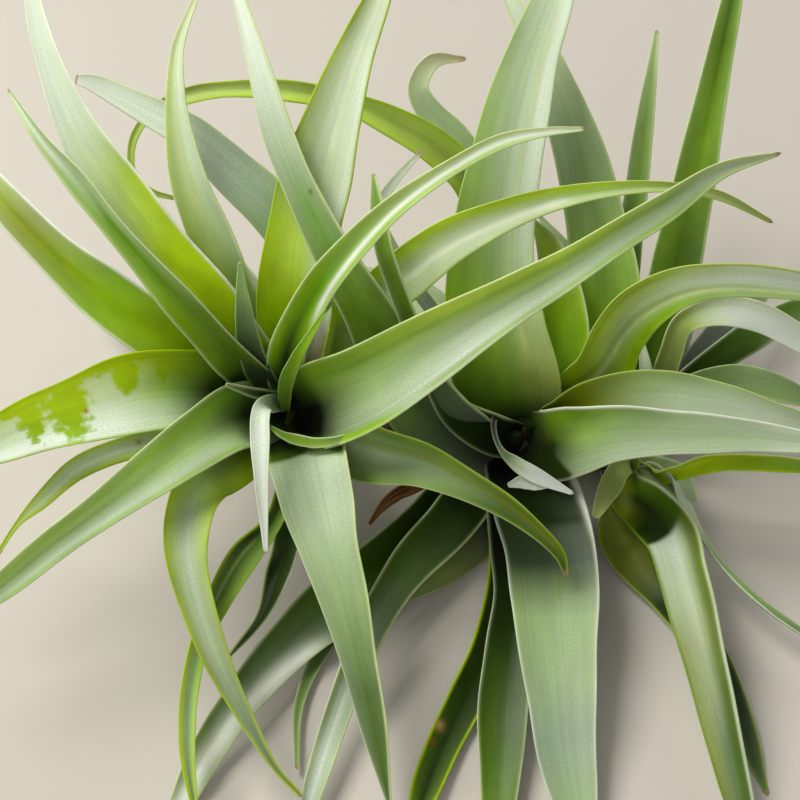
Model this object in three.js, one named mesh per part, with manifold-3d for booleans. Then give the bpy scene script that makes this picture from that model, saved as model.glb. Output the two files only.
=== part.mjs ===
// An air plant: three rosettes of long channelled leaves, grown together on one short woody stem.
// Millimetres, +Z up. The plant rests on a small flat spot under its stem, and the origin is that
// spot's middle.
//
// The plant opens towards its face, a plane that leans back from the horizon. Every leaf is set out
// from that face: how far across it, how far up it, and how far out in front of it.

import * as THREE from "three";
import { mergeVertices } from "three/addons/utils/BufferGeometryUtils.js";
import Module from "manifold-3d";

const wasm = await Module();
wasm.setup();

// ---- driving dimensions, mm and degrees ----

const FACE_RISE = 52;          // how far the line straight out of the face points above the horizon
const FACE_HEIGHT = 76;        // height of the face's middle over the surface
const SIGHT = 600;             // places and widths are taken from a point this far in front of the face
const SPOT_ACROSS = 12;        // the flat spot's middle, across the face
const SPOT_BEHIND = 42;        // and behind the face's middle

const BLADE_THICK = 1.3;       // leaf thickness along the middle
const MARGIN_THICK = 0.8;      // and at the margins
const TIP_WIDTH = 0.9;
const BASE_FADE = 5;           // how soon the deep channel at a leaf's base opens out
const BROAD = 15;              // leaves wider than this get four panels across, the others two
const LOOK = 0.01;             // how far ahead and behind a leaf's heading is taken, as a share of it
const GAP = 0.3;               // clearance between neighbours

const STEM_RADIUS = 5;
const CROWN_RADIUS = 5.5;      // each rosette's short stub of stem, at its foot
const CROWN_TOP_RADIUS = 2.6;
const BUD_LENGTH = 12;         // growing point in the middle of each rosette
const BUD_TIP_RADIUS = 0.7;
const SPOT_LENGTH = 46;        // foot of the stem, whose underside is the flat spot
const SPOT_WIDTH = 16;
const SPOT_THICK = 5;
const STEM_STEPS = 12;         // sections along the stem
const STEM_SIDES = 10;         // sides of the stem and of each peg
const SPOT_SIDES = 16;
const SURFACE_ACROSS = 400;    // what the stem would send below the surface is cut off
const SURFACE_DEEP = 100;
const SATIN = 0.55;            // roughness of every finish

// ---- the face frame ----

const RISE = THREE.MathUtils.degToRad(FACE_RISE);
const OUTWARD = new THREE.Vector3(0, -Math.cos(RISE), Math.sin(RISE));

// A place given across, up and out of the face, in the part's own frame.
const place = ([across, up, out]) => {
  const nearer = 1 - out / SIGHT;
  return new THREE.Vector3(
    across * nearer - SPOT_ACROSS,
    up * nearer * Math.sin(RISE) - out * Math.cos(RISE) - SPOT_BEHIND,
    FACE_HEIGHT + up * nearer * Math.cos(RISE) + out * Math.sin(RISE),
  );
};

// A smooth curve through rows of numbers: a Catmull-Rom blend of four neighbouring rows.
const blend = (rows, along) => {
  const span = (rows.length - 1) * along;
  const i = Math.min(Math.floor(span), rows.length - 2);
  const f = span - i;
  return rows[i].map((b, k) => {
    const c = rows[i + 1][k];
    const a = i > 0 ? rows[i - 1][k] : 2 * b - c;
    const d = i + 2 < rows.length ? rows[i + 2][k] : 2 * c - b;
    return b + 0.5 * f * (c - a + f * (2 * a - 5 * b + 4 * c - d + f * (3 * (b - c) + d - a)));
  });
};

// ---- one leaf ----

// The stations of a leaf run along its midrib: across, up, out and width. Its channel bends through
// bend[0] degrees at the base and opens to bend[1]. It rolls about its midrib from roll[0] to roll[1],
// which lifts the right-hand margin out of the face.
const leaf = (tint, bend, roll, rows) => ({ tint, bend, roll, rows });

// A closed blade, with its inner skin on the stations and its thickness behind. Where it would dip
// below the surface it lies flat on it. Swell grows it all round.
const blade = ({ bend, roll, rows }, swell = 0) => {
  const panels = Math.max(...rows.map((row) => row[3])) > BROAD ? 4 : 2;
  const columns = panels + 1;
  const steps = rows.length + 1;
  const inner = [];
  const outer = [];
  for (let j = 0; j <= steps; j += 1) {
    const along = j / steps;
    const station = blend(rows, along);
    const here = place(station);
    const ahead = place(blend(rows, Math.min(along + LOOK, 1)));
    const behind = place(blend(rows, Math.max(along - LOOK, 0)));
    const heading = ahead.sub(behind).normalize();
    if (j === 0) here.addScaledVector(heading, -swell);
    if (j === steps) here.addScaledVector(heading, swell);
    const level = heading.clone().cross(OUTWARD).normalize();
    const facing = level.clone().cross(heading);
    const turn = THREE.MathUtils.degToRad(THREE.MathUtils.lerp(roll[0], roll[1], along));
    const side = level.clone().multiplyScalar(Math.cos(turn)).addScaledVector(facing, Math.sin(turn));
    const up = facing.clone().multiplyScalar(Math.cos(turn)).addScaledVector(level, -Math.sin(turn));
    const opened = bend[1] + (bend[0] - bend[1]) * Math.exp(-BASE_FADE * along);
    const half = THREE.MathUtils.degToRad(opened / 2);
    const width = Math.max(station[3], TIP_WIDTH) * (1 - station[2] / SIGHT);
    const radius = width / 2 / Math.sin(half);
    for (let k = 0; k < columns; k += 1) {
      const across = (2 * k) / panels - 1;
      const angle = across * (half + swell / radius);
      const ray = up.clone().multiplyScalar(Math.cos(angle)).addScaledVector(side, -Math.sin(angle));
      const skin = here.clone().addScaledVector(up, radius).addScaledVector(ray, -radius);
      const thick = THREE.MathUtils.lerp(BLADE_THICK, MARGIN_THICK, across * across);
      const top = skin.clone().addScaledVector(ray, swell);
      const back = skin.clone().addScaledVector(ray, -thick - swell);
      inner.push(top.setZ(Math.max(top.z, thick + swell)));
      outer.push(back.setZ(Math.max(back.z, 0)));
    }
  }
  const faces = [];
  const quad = (a, b, c, d) => faces.push(a, b, c, a, c, d);
  const under = inner.length;
  for (let j = 0; j < steps; j += 1) {
    const row = j * columns;
    for (let k = 0; k < panels; k += 1) {
      const p = row + k;
      quad(p, p + 1, p + 1 + columns, p + columns);
      faces.push(under + p, under + p + 1 + columns, under + p + 1);
      faces.push(under + p, under + p + columns, under + p + 1 + columns);
    }
    const right = row + panels;
    quad(row, row + columns, under + row + columns, under + row);
    quad(right, under + right, under + right + columns, right + columns);
  }
  const last = steps * columns;
  for (let k = 0; k < panels; k += 1) {
    quad(k, under + k, under + k + 1, k + 1);
    quad(last + k, last + k + 1, under + last + k + 1, under + last + k);
  }
  const geometry = new THREE.BufferGeometry().setFromPoints([...inner, ...outer]);
  geometry.setIndex(faces);
  return geometry;
};

// ---- joining and cutting ----

const solidOf = (geometry) => {
  const bare = geometry.clone();
  bare.deleteAttribute("normal");
  bare.deleteAttribute("uv");
  const merged = mergeVertices(bare);
  return new wasm.Manifold(new wasm.Mesh({
    numProp: 3,
    vertProperties: new Float32Array(merged.attributes.position.array),
    triVerts: new Uint32Array(merged.index.array),
  }));
};

const geometryOf = (solid) => {
  const mesh = solid.getMesh();
  const geometry = new THREE.BufferGeometry();
  geometry.setAttribute("position", new THREE.BufferAttribute(mesh.vertProperties, 3));
  geometry.setIndex(new THREE.BufferAttribute(mesh.triVerts, 1));
  return geometry;
};

const fuse = (solids) => solids.reduce((whole, solid) => whole.add(solid));

const largestBody = (solid) => {
  const bodies = solid.decompose();
  return bodies.reduce((most, body) => (body.volume() > most.volume() ? body : most));
};

const boxesMeet = (one, other) => {
  const a = one.boundingBox();
  const b = other.boundingBox();
  return [0, 1, 2].every((k) => a.min[k] <= b.max[k] && b.min[k] <= a.max[k]);
};

// ---- the leaves, each rosette from its heart outwards ----

const LEFT_HEART = {
  upright: leaf("pale", [90, 40], [10, 0], [
    [-36, 1, -44, 4], [-41, 6, -20, 8], [-45, 16, -5, 8], [-47, 28, 1, 6], [-48, 41, 3, 1.5],
  ]),
  drooping: leaf("pale", [90, 50], [0, 0], [
    [-34, -1, -44, 4], [-38, -1, -18, 5], [-41.5, -3, -1, 5], [-42, -12, 5, 5.2], [-41.4, -27, 6, 3.4],
    [-40.3, -45, 2, 1],
  ]),
  pointed: leaf("pale", [60, 40], [0, 0], [
    [-34, 0, -40, 3], [-38, 1, -20, 3.4], [-45, 2.5, -8, 2.6], [-52, 4.6, -2, 1],
  ]),
};

const LEAVES = {
  // left rosette
  left_leaf_01: leaf("vivid", [100, 62], [-12, 8], [
    [-33, 2, -48, 8], [-34.5, 7, -25, 10], [-34, 14, -8, 10.5], [-31, 22, 1, 10.2], [-23.5, 35, 9, 9.2],
    [-12.1, 48.1, 14, 7.9], [0.4, 59.6, 17, 5.9], [15.5, 69.7, 18, 4.6], [30, 77.3, 17, 4.2],
    [43, 80.3, 15, 2.6], [55, 81.3, 12, 1],
  ]),
  left_leaf_02: leaf("deep", [110, 76], [34, 26], [
    [-37, 2, -50, 8], [-43, 7, -26, 12], [-51, 14, -4, 12.9], [-65.6, 29.7, 12, 11],
    [-83.7, 49.7, 20, 7.6], [-96.3, 65.2, 22, 7.2], [-107.6, 78.1, 20, 4.3], [-117.3, 92.7, 15, 1],
  ]),
  left_leaf_03: leaf("silver", [150, 44], [0, -14], [
    [-31, -3, -52, 14], [-27, -2.5, -33, 21], [-21.5, -0.5, -14, 25], [-10, 4.5, 2, 25],
    [6, 14, 12, 21.5], [21, 23, 20, 17.6], [36, 31.5, 25, 13.8], [51, 40, 27, 11], [66, 49.4, 26, 9.4],
    [81, 58.6, 23, 8], [96.5, 68.9, 18, 4.6], [113.4, 73.8, 10, 1],
  ]),
  left_leaf_04: leaf("pale", [130, 46], [0, 8], [
    [-36, -3, -54, 12], [-42, -4, -33, 18], [-50.3, -5.8, -12, 19.5], [-60.1, -11.8, 0, 16.9],
    [-74.6, -22, 8, 14.2], [-89.3, -32.8, 12, 10.5], [-104.9, -44.2, 12, 9.3], [-120.2, -56.8, 10, 7.3],
    [-133.5, -67.5, 6, 1],
  ]),
  left_leaf_05: leaf("silver", [110, 34], [0, -14], [
    [-36, 3, -56, 10], [-41.1, 7.9, -36, 13.8], [-47.6, 15.6, -14, 16], [-57.5, 28.6, 0, 17.2],
    [-71.6, 45.5, 8, 16.1], [-84.2, 62.3, 11, 15.2], [-95, 78, 11, 12.4], [-103.3, 96.1, 9, 8.1],
    [-109.4, 116, 5, 5.2], [-112.5, 138, -2, 1],
  ]),
  left_leaf_06: leaf("lime", [110, 40], [6, -12], [
    [-31, 3, -58, 12], [-30.5, 10, -40, 17], [-30.9, 21, -20, 21.9], [-30.5, 36, -8, 23.1],
    [-28.2, 54, -3, 21], [-24.6, 69, 0, 20.8], [-20.4, 83.9, 2, 16.6], [-14.5, 101.9, 2, 11.9],
    [-6.8, 120, 0, 7.4], [0, 136, -4, 1],
  ]),
  left_leaf_07: leaf("silver", [120, 40], [-6, 4], [
    [-36, -1, -59, 12], [-43, 0.5, -41, 20], [-53.1, 2.6, -20, 23.7], [-65.9, 3.3, -6, 22.4],
    [-80, 1.9, 1, 23.8], [-94.9, -2.6, 4, 19.9], [-109.3, -7.3, 4, 16.5], [-124.1, -13.9, 2, 11.7],
    [-139, -21, -3, 1],
  ]),
  left_leaf_08: leaf("pale", [110, 34], [0, -6], [
    [-31.5, -4, -60, 14], [-30, -8, -44, 20], [-28.5, -13, -24, 23], [-27, -20, -11, 23],
    [-24.5, -31, -5, 21.3], [-21.3, -44, 0, 17.6], [-16.6, -60, 4, 14], [-12.3, -78.1, 7, 10.5],
    [-7.8, -98.1, 11, 7.5], [-3, -122, 15, 1],
  ]),
  left_leaf_09: leaf("lime", [110, 52], [14, 0], [
    [-34, -4, -61, 10], [-40, -10, -46, 13], [-49.6, -17.8, -24, 15.4], [-58.5, -24, -9, 15.4],
    [-63.1, -33.3, -1, 13.6], [-64.2, -45.9, 3, 12], [-61, -60.8, 5, 9.8], [-54.9, -78, 7, 7.6],
    [-46.7, -94.4, 9, 4.6], [-38, -109.5, 13, 1.9], [-30, -118.5, 15, 1],
  ]),
  left_leaf_10: leaf("lime", [100, 48], [-10, 12], [
    [-34, 3, -63, 10], [-40, 10, -47, 13], [-46, 22, -26, 14], [-51.4, 35, -12, 13],
    [-56.8, 49.1, -5, 12.6], [-62.8, 64, -1, 10.7], [-66.1, 79, 0, 8], [-67.3, 93, 0, 5.1],
    [-66.3, 107, -2, 3.2], [-60, 124, -6, 1],
  ]),
  left_leaf_11: leaf("lime", [100, 40], [-10, -10], [
    [-36, 2, -64, 10], [-43, 5, -50, 14], [-52, 9, -32, 17], [-63, 15, -15, 17],
    [-76.7, 22.6, -5, 17.4], [-90.8, 33, 0, 15.7], [-105.4, 45.6, 2, 12], [-120.2, 61.5, 0, 9.3],
    [-129, 76, -4, 1],
  ]),
  left_leaf_12: leaf("vivid", [100, 60], [-12, 6], [
    [-31, 2, -65, 8], [-27.5, 8, -52, 11], [-21, 16.6, -33, 13], [-10.5, 27, -17, 13.4],
    [1.5, 37.6, -6, 14.5], [15, 47.8, 1, 13.1], [31, 55.2, 5, 9.2], [47, 60.4, 6, 6.4],
    [63, 63.2, 5, 4.2], [80, 63.9, 1, 2.8], [96, 61.2, -6, 2.6], [111, 53.7, -14, 1],
  ]),
  left_leaf_13: leaf("pale", [100, 50], [-14, 10], [
    [-30, -3, -66, 12], [-26, -7, -52, 16], [-19, -12, -34, 17], [-7.1, -16.3, -19, 17],
    [6, -19.2, -11, 13], [18.8, -24.9, -8, 9.3], [31, -31.6, -8, 6.6], [41.2, -39.3, -10, 4.4],
    [47.8, -46.2, -13, 3], [50, -52.8, -16, 1],
  ]),
  left_leaf_14: leaf("pale", [90, 36], [0, 6], [
    [-33, 4, -68, 9], [-31, 15, -55, 11], [-29.5, 29, -38, 12], [-30.5, 44, -27, 13],
    [-38.4, 57.2, -20, 14.4], [-49.6, 67.9, -16, 13.5], [-63.3, 80, -13, 10.5], [-80, 89.1, -13, 7.4],
    [-91.4, 94.8, -14, 4.7], [-97.2, 96.2, -15, 2.4],
  ]),
  left_leaf_15: leaf("vivid", [70, 60], [20, 10], [
    [-32.5, -5, -69, 5], [-33, -14, -54, 6], [-34, -25, -32, 6], [-38.6, -37, -17, 5.4],
    [-47.2, -47.1, -11, 9], [-54.1, -59, -7, 7.4], [-60.2, -73, -3, 5.3], [-63.5, -90, 2, 4.8],
    [-63.7, -107, 9, 4.1], [-61, -126, 16, 1],
  ]),
  left_leaf_16: leaf("deep", [80, 60], [-30, -30], [
    [-30.5, -5, -70, 6], [-29.5, -15, -58, 8], [-31, -27, -42, 9], [-33, -40, -27, 9],
    [-36.2, -52, -19, 8.5], [-41.5, -65, -15, 4], [-51.3, -76.8, -13, 1],
  ]),
  left_leaf_17: leaf("lime", [80, 60], [10, -10], [
    [-36, -2, -71, 7], [-45, -5, -60, 9], [-57, -8.6, -42, 9], [-70, -12.2, -23, 8.4],
    [-84.2, -15.1, -12, 6.7], [-97.3, -21, -7, 6.2], [-107.7, -30.4, -6, 4.3], [-115.2, -37.8, -7, 1.4],
    [-123, -50, -8, 1],
  ]),
  left_leaf_18: leaf("deep", [70, 44], [0, 0], [
    [-33.4, 3.4, -75, 9], [-38, 15, -78, 11.4], [-43, 25, -85, 12], [-48, 34, -95, 11], [-53, 41, -107, 8],
    [-57, 45.6, -118, 1],
  ]),
  left_leaf_19: leaf("deep", [70, 44], [0, 0], [
    [-35.6, 0, -75, 9], [-48, 6, -74, 11.4], [-60, 13, -77, 12], [-72, 21, -83, 11.4],
    [-84, 29, -91, 8.6], [-96, 36.6, -101, 1],
  ]),

  // middle rosette
  middle_leaf_01: leaf("grey", [130, 30], [0, 10], [
    [29.5, -16, -62, 13], [21, -14, -47, 19], [11, -6.6, -30, 22], [0.5, 7.3, -14, 20.5],
    [-8.5, 24.5, -2, 15], [-20.3, 44.5, 5, 11.3], [-29.6, 62.8, 8, 9.4], [-35.8, 77.8, 9, 8.9],
    [-41.2, 95.8, 8, 7.2], [-47.8, 118.9, 4, 3.6], [-52.5, 135, 0, 1],
  ]),
  middle_leaf_02: leaf("deep", [100, 50], [0, 0], [
    [34, -12, -60, 10], [27, -10, -46, 12], [17, -4, -32, 9.6], [10, 7, -17, 6.6], [4.6, 19, -3, 5.2],
    [-0.4, 32, 4, 5], [-4.5, 43.8, 7, 4.9], [-6.6, 55.9, 8, 4.3], [-8, 67.5, 6, 1],
  ]),
  middle_leaf_03: leaf("green", [130, 34], [0, 8], [
    [34.5, -6, -62, 20], [33, 0, -55, 28], [31, 9, -50, 31.5], [28.5, 22, -47, 29],
    [27.2, 36, -45, 26.4], [28.3, 52, -43, 23.5], [31.1, 68, -42, 21.7], [34.8, 85, -41, 19.5],
    [39.4, 102, -42, 15.6], [46, 120, -45, 11.5], [52.5, 138, -50, 1],
  ]),
  middle_leaf_04: leaf("pale", [120, 40], [4, 12], [
    [39, -12, -62, 14], [45, -13.6, -44, 20.3], [53.1, -12.3, -30, 20.5], [65, -10.1, -21, 16.2],
    [79, -9.8, -17, 13.4], [93, -10.2, -15, 11.4], [107, -11, -15, 8.8], [121, -12.6, -16, 6.2],
    [136, -15, -18, 1],
  ]),
  middle_leaf_05: leaf("vivid", [90, 44], [0, 0], [
    [42, -6, -66, 12], [47.6, -1, -57, 14], [49.4, 10, -56, 14], [49.4, 22, -55, 13.6],
    [48, 34, -54, 11.6], [44.6, 46, -53, 7], [40, 54, -54, 1],
  ]),
  middle_leaf_06: leaf("grey", [110, 36], [-6, 6], [
    [43, -10, -68, 12], [50, -7, -55, 16], [58, -2.6, -44, 16.6], [70, 0.6, -34, 16],
    [84, 0.6, -28, 14.5], [97.9, -1.5, -26, 11.6], [111.7, -5, -26, 8.3], [125.8, -9.1, -28, 6],
    [139, -13.5, -31, 1],
  ]),
  middle_leaf_07: leaf("grey", [110, 34], [0, 6], [
    [36, -15, -68, 18], [38, -22, -55, 23.9], [41.3, -31.9, -40, 26.3], [44.6, -43.9, -30, 26.9],
    [46.2, -58, -21, 25.9], [47, -73, -13, 23.7], [48.4, -89, -6, 20.1], [49.8, -106.1, 0, 17.5],
    [53.2, -124, 7, 11.6], [57, -143, 13, 1],
  ]),
  middle_leaf_08: leaf("lime", [110, 50], [-10, -24], [
    [42, -5, -71, 12], [50.8, -0.6, -60, 17.1], [59.6, 8.1, -50, 18.1], [64.8, 18.9, -42, 16.2],
    [72, 27.6, -35, 15.3], [83.7, 34, -30, 12.1], [98, 36.1, -28, 10.2], [113.7, 35.3, -28, 9.1],
    [129.9, 32.3, -30, 7], [145, 27, -33, 1],
  ]),
  middle_leaf_09: leaf("grey", [90, 44], [0, 8], [
    [44, -5, -74, 14], [53, 3, -70, 20], [60, 18, -66, 21.6], [61, 36, -63, 21],
    [58.5, 54.1, -62, 17.1], [53.8, 74, -60, 15.2], [47.1, 92.9, -60, 11.3], [40, 109, -62, 8.3],
    [29, 127, -65, 1],
  ]),
  middle_leaf_10: leaf("green", [90, 44], [0, -10], [
    [33, -16, -73, 12], [32.3, -28.2, -60, 12.6], [33.8, -42, -46, 13.4], [35.1, -57.9, -35, 13.5],
    [33, -74, -24, 14], [31, -91, -13, 14.6], [30.4, -108, -4, 12.6], [29.4, -124, 4, 9],
    [28, -141, 11, 1],
  ]),
  middle_leaf_11: leaf("deep", [90, 50], [16, 10], [
    [30, -15, -74, 12], [23, -25, -58, 15], [14, -37, -44, 15.4], [2.5, -49.5, -32, 12.8],
    [-7.5, -65.5, -22, 10], [-14.6, -82.7, -13, 8.5], [-20.8, -99.8, -5, 7.3], [-26.2, -116.9, 4, 5.9],
    [-30.6, -134, 13, 1],
  ]),
  middle_leaf_12: leaf("grey", [60, 44], [0, 0], [
    [37, -1, -75, 8], [35, 16, -70, 10], [32, 36, -67, 10], [28.6, 54, -65, 9], [24, 68, -64, 8],
    [16.5, 79.1, -62, 7.8], [8.8, 86.5, -60, 7.2], [5.4, 94, -58, 5.6], [10, 101.6, -58, 4.2],
    [19.4, 102.4, -60, 1],
  ]),
  middle_leaf_13: leaf("lime", [70, 64], [-8, 0], [
    [35, -1, -77, 8], [31, 16, -73, 10], [28, 34, -68, 11], [25.6, 50, -62, 11], [21, 64.8, -56, 10],
    [10.6, 75.6, -51, 10.3], [-3.1, 83.6, -46, 8.8], [-17, 89.4, -41, 5.8], [-34, 92.7, -36, 6],
    [-51, 93.2, -33, 4.5], [-64, 91.1, -32, 4.5], [-74, 86.6, -32, 2.6], [-79.9, 78.3, -32, 2.1],
    [-80.2, 68.6, -33, 1.6], [-75, 62.8, -34, 1.6], [-68, 60.6, -35, 1],
  ]),
  middle_leaf_14: leaf("deep", [90, 44], [10, 10], [
    [29.5, -13, -76, 12], [20, -23, -64, 15], [7.7, -36.9, -51, 15.1], [-7.2, -50.2, -40, 16.4],
    [-21, -61.4, -31, 17.5], [-34.6, -74.4, -22, 14.6], [-47, -88.8, -12, 11.4],
    [-57.5, -104.4, -5, 10.1], [-65.4, -120.3, 2, 6.9], [-72, -135, 7, 1],
  ]),
  middle_leaf_15: leaf("deep", [80, 70], [14, -12], [
    [30, -17, -75, 9], [31, -31, -63, 11], [32.4, -45, -52, 11.6], [30.9, -60, -42, 11.4],
    [26.4, -75.2, -31, 10.7], [19.5, -90.2, -20, 10.5], [12.5, -104.6, -9.6, 9.7], [6.6, -120, 2, 7.4],
    [2.6, -135, 12, 1],
  ]),
  middle_leaf_16: leaf("grey", [60, 44], [0, 0], [
    [41, -4, -77, 6], [51, 5, -76, 8], [57.6, 17, -75, 8], [57, 31, -74, 7.4], [51, 43, -73, 5],
    [42, 55, -72, 1],
  ]),
  middle_leaf_17: leaf("deep", [80, 44], [20, 10], [
    [32, -17, -75, 10], [29, -29, -66, 13], [23.6, -39, -57, 14], [14.9, -47.8, -48, 12.4],
    [5.6, -55, -41, 7.6], [-4, -62, -34, 1],
  ]),
  middle_leaf_18: leaf("deep", [60, 50], [0, 0], [
    [31, -15, -80, 5], [16, -32, -66, 6], [0, -49, -52, 6], [-14, -63, -40, 5.2], [-24, -76, -30, 4.1],
    [-30.4, -91.9, -18, 2.4], [-31, -110, -5, 1],
  ]),
  middle_leaf_19: leaf("deep", [70, 44], [0, 0], [
    [34.6, -6, -80, 12], [32, 10, -84, 16], [29.6, 20, -90, 18], [28.4, 30, -98, 17.4], [28, 38, -107, 14],
    [28, 43.6, -116, 9], [28, 47, -124, 1],
  ]),
  middle_leaf_20: leaf("grey", [70, 44], [0, 0], [
    [31.4, -7, -80, 8], [24, 11, -82, 9.6], [14.6, 24, -86, 9.6], [3.2, 32.5, -92, 9.5],
    [-10, 37, -99, 6], [-22, 40, -106, 1],
  ]),
  middle_leaf_21: leaf("grey", [60, 50], [0, 0], [
    [32, -3, -67, 4], [20, 14, -46, 4], [6, 32, -24, 3.6], [-3, 47, -12, 3], [-6.4, 56, -9, 2.6],
    [-4, 62.3, -9, 2.4], [0.7, 68.4, -10, 1.8], [6.6, 74.6, -12, 1],
  ]),

  // an old dry leaf under the middle rosette
  dry_leaf: leaf("dry", [120, 90], [0, 60], [
    [29, -13, -78, 4], [15, -20, -69, 5], [4, -25, -61, 5], [-4, -30, -53, 4], [-9, -37, -47, 1],
  ]),

  // right rosette
  right_leaf_01: leaf("silver", [140, 40], [-6, -14], [
    [67, -20, -62, 13], [68, -27.2, -55, 11.1], [74.6, -32.7, -46, 15.1], [81.4, -40.6, -36, 15.5],
    [84.8, -51.9, -27, 14.4], [88.5, -66.1, -17, 13.6], [92.8, -83, -9, 11.9], [97.1, -101.1, -1, 10.5],
    [102.2, -121.1, 6, 8.1], [110, -146, 14, 1],
  ]),
  right_leaf_02: leaf("silver", [90, 44], [0, -16], [
    [71, -13, -68, 8], [76.9, 0.9, -61, 7.2], [80.9, 13.1, -53, 6.6], [85.2, 23.1, -47, 6.4],
    [96, 26.7, -44, 8.1], [108, 24.8, -44, 8.6], [120, 18.4, -46, 7], [130, 11.4, -48, 4.6],
    [138, 5, -51, 1],
  ]),
  right_leaf_03: leaf("green", [90, 44], [0, -8], [
    [69.6, -13, -70, 10], [74, 3, -67, 13], [78.6, 21, -65, 14.6], [82.7, 41, -63, 14.4],
    [87.3, 61.4, -62, 12.7], [91, 80.1, -62, 10.5], [95.1, 99.7, -64, 8.1], [99.4, 119.7, -67, 6.2],
    [103.5, 137, -71, 1],
  ]),
  right_leaf_04: leaf("green", [80, 44], [0, 0], [
    [72, -15, -70, 8], [81, -3, -61, 10], [91, 3.6, -53, 10], [103, 6, -49, 8.6], [116, 2.6, -48, 6.8],
    [129, -3, -50, 1],
  ]),
  right_leaf_05: leaf("lime", [80, 60], [-48, -40], [
    [71, -20, -68, 8], [77.6, -22.3, -57, 6.6], [83, -21.5, -46, 6.6], [93.2, -18.6, -39, 6.9],
    [107, -18.4, -36, 6.2], [121.1, -19.7, -36, 5.2], [136, -23, -39, 1],
  ]),
  right_leaf_06: leaf("grey", [60, 44], [10, 0], [
    [67.6, -13, -73, 6], [66.8, 6, -73, 8], [66.6, 24, -74, 8], [68.1, 42, -73, 7.7],
    [70.6, 60, -72, 6.4], [72.6, 77.1, -73, 5.6], [74.9, 94.1, -75, 3.6], [77, 110.4, -77, 1],
  ]),
  right_leaf_07: leaf("deep", [80, 44], [0, 20], [
    [72.6, -14, -73, 7], [84.1, 1.9, -67, 8.8], [95.4, 12.1, -60, 8.3], [107, 20, -55, 9.1],
    [119, 26.6, -53, 7], [130, 32, -53, 1],
  ]),
  right_leaf_08: leaf("silver", [70, 44], [66, 70], [
    [71.6, -21, -71, 6], [78, -20, -62, 10], [82.6, -24.5, -55, 13], [85, -31, -49, 8.4],
    [89.6, -39.2, -43, 4.8], [94.8, -47, -38, 4.2], [100, -53.2, -34, 4.6], [107.5, -60.2, -29, 5],
    [117, -67.3, -25, 4.6], [128, -74.4, -22, 3.8], [140, -81, -19, 1],
  ]),
  right_leaf_09: leaf("deep", [80, 44], [0, 0], [
    [66, -23, -73, 8], [66.5, -32, -63, 10.5], [66, -41, -55, 12.6], [72, -50, -48, 12],
    [80.5, -59, -41, 10.6], [89, -70, -34, 9.6], [96.8, -83.1, -24, 8.3], [103.6, -100, -14, 6.7],
    [110, -118, -4, 1],
  ]),
  right_leaf_10: leaf("deep", [70, 44], [0, 0], [
    [70.6, -12, -75, 9], [75.6, 5, -81, 12], [80.6, 19, -88, 12.6], [83.6, 30, -96, 12], [86, 39, -106, 9],
    [87.6, 45, -116, 1],
  ]),
  right_leaf_11: leaf("deep", [70, 44], [0, 0], [
    [73.6, -13, -75, 8], [83.4, 2, -78, 10], [94, 16, -83, 10.4], [101.6, 26, -90, 9], [108, 33, -99, 6.4],
    [113, 37, -107, 1],
  ]),
};

const MIDDLE_HEART = {
  torn: leaf("pale", [60, 44], [0, 0], [
    [34, -8, -52, 3], [29.6, -8.2, -40, 2.2], [28.6, -12, -33, 1.6], [31, -16, -29, 1.8],
    [34.8, -19, -27, 4.4], [41, -22.6, -26, 5.4], [52.4, -28, -26, 1],
  ]),
};

const RIGHT_HEART = {
  olive: leaf("olive", [60, 44], [0, 0], [
    [67, -20, -58, 5], [69, -18.6, -48, 6], [66, -20.6, -40, 6], [62.4, -27, -36, 6], [58.6, -35, -34, 2],
  ]),
  pale: leaf("silver", [60, 44], [0, 0], [
    [70, -15, -62, 4], [73, -5, -56, 4.4], [74, 6, -53, 4], [72.4, 18, -52, 1.4],
  ]),
  short: leaf("silver", [60, 44], [0, 0], [
    [70, -19, -64, 5], [77, -20.6, -60, 7], [83, -24, -57, 8.6], [87.6, -31, -54, 3],
  ]),
};

// ---- the stem, its three crowns and its foot ----

// Each crown stands out of the face from its foot to its top, where the rosette's bud sits.
const CROWNS = {
  left: { foot: [-32.5, -1, -77], top: [-32.5, -1, -50] },
  middle: { foot: [34, -11, -82], top: [34, -11, -62] },
  right: { foot: [68, -18, -77], top: [68, -18, -64] },
};

// A round peg between two places, from one radius to the other.
const peg = (from, to, startRadius, endRadius) => {
  const axis = to.clone().sub(from);
  const geometry = new THREE.CylinderGeometry(endRadius, startRadius, axis.length(), STEM_SIDES);
  geometry.applyQuaternion(new THREE.Quaternion().setFromUnitVectors(
    new THREE.Vector3(0, 1, 0),
    axis.clone().normalize(),
  ));
  const middle = from.clone().add(to).multiplyScalar(0.5);
  return geometry.translate(middle.x, middle.y, middle.z);
};

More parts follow.
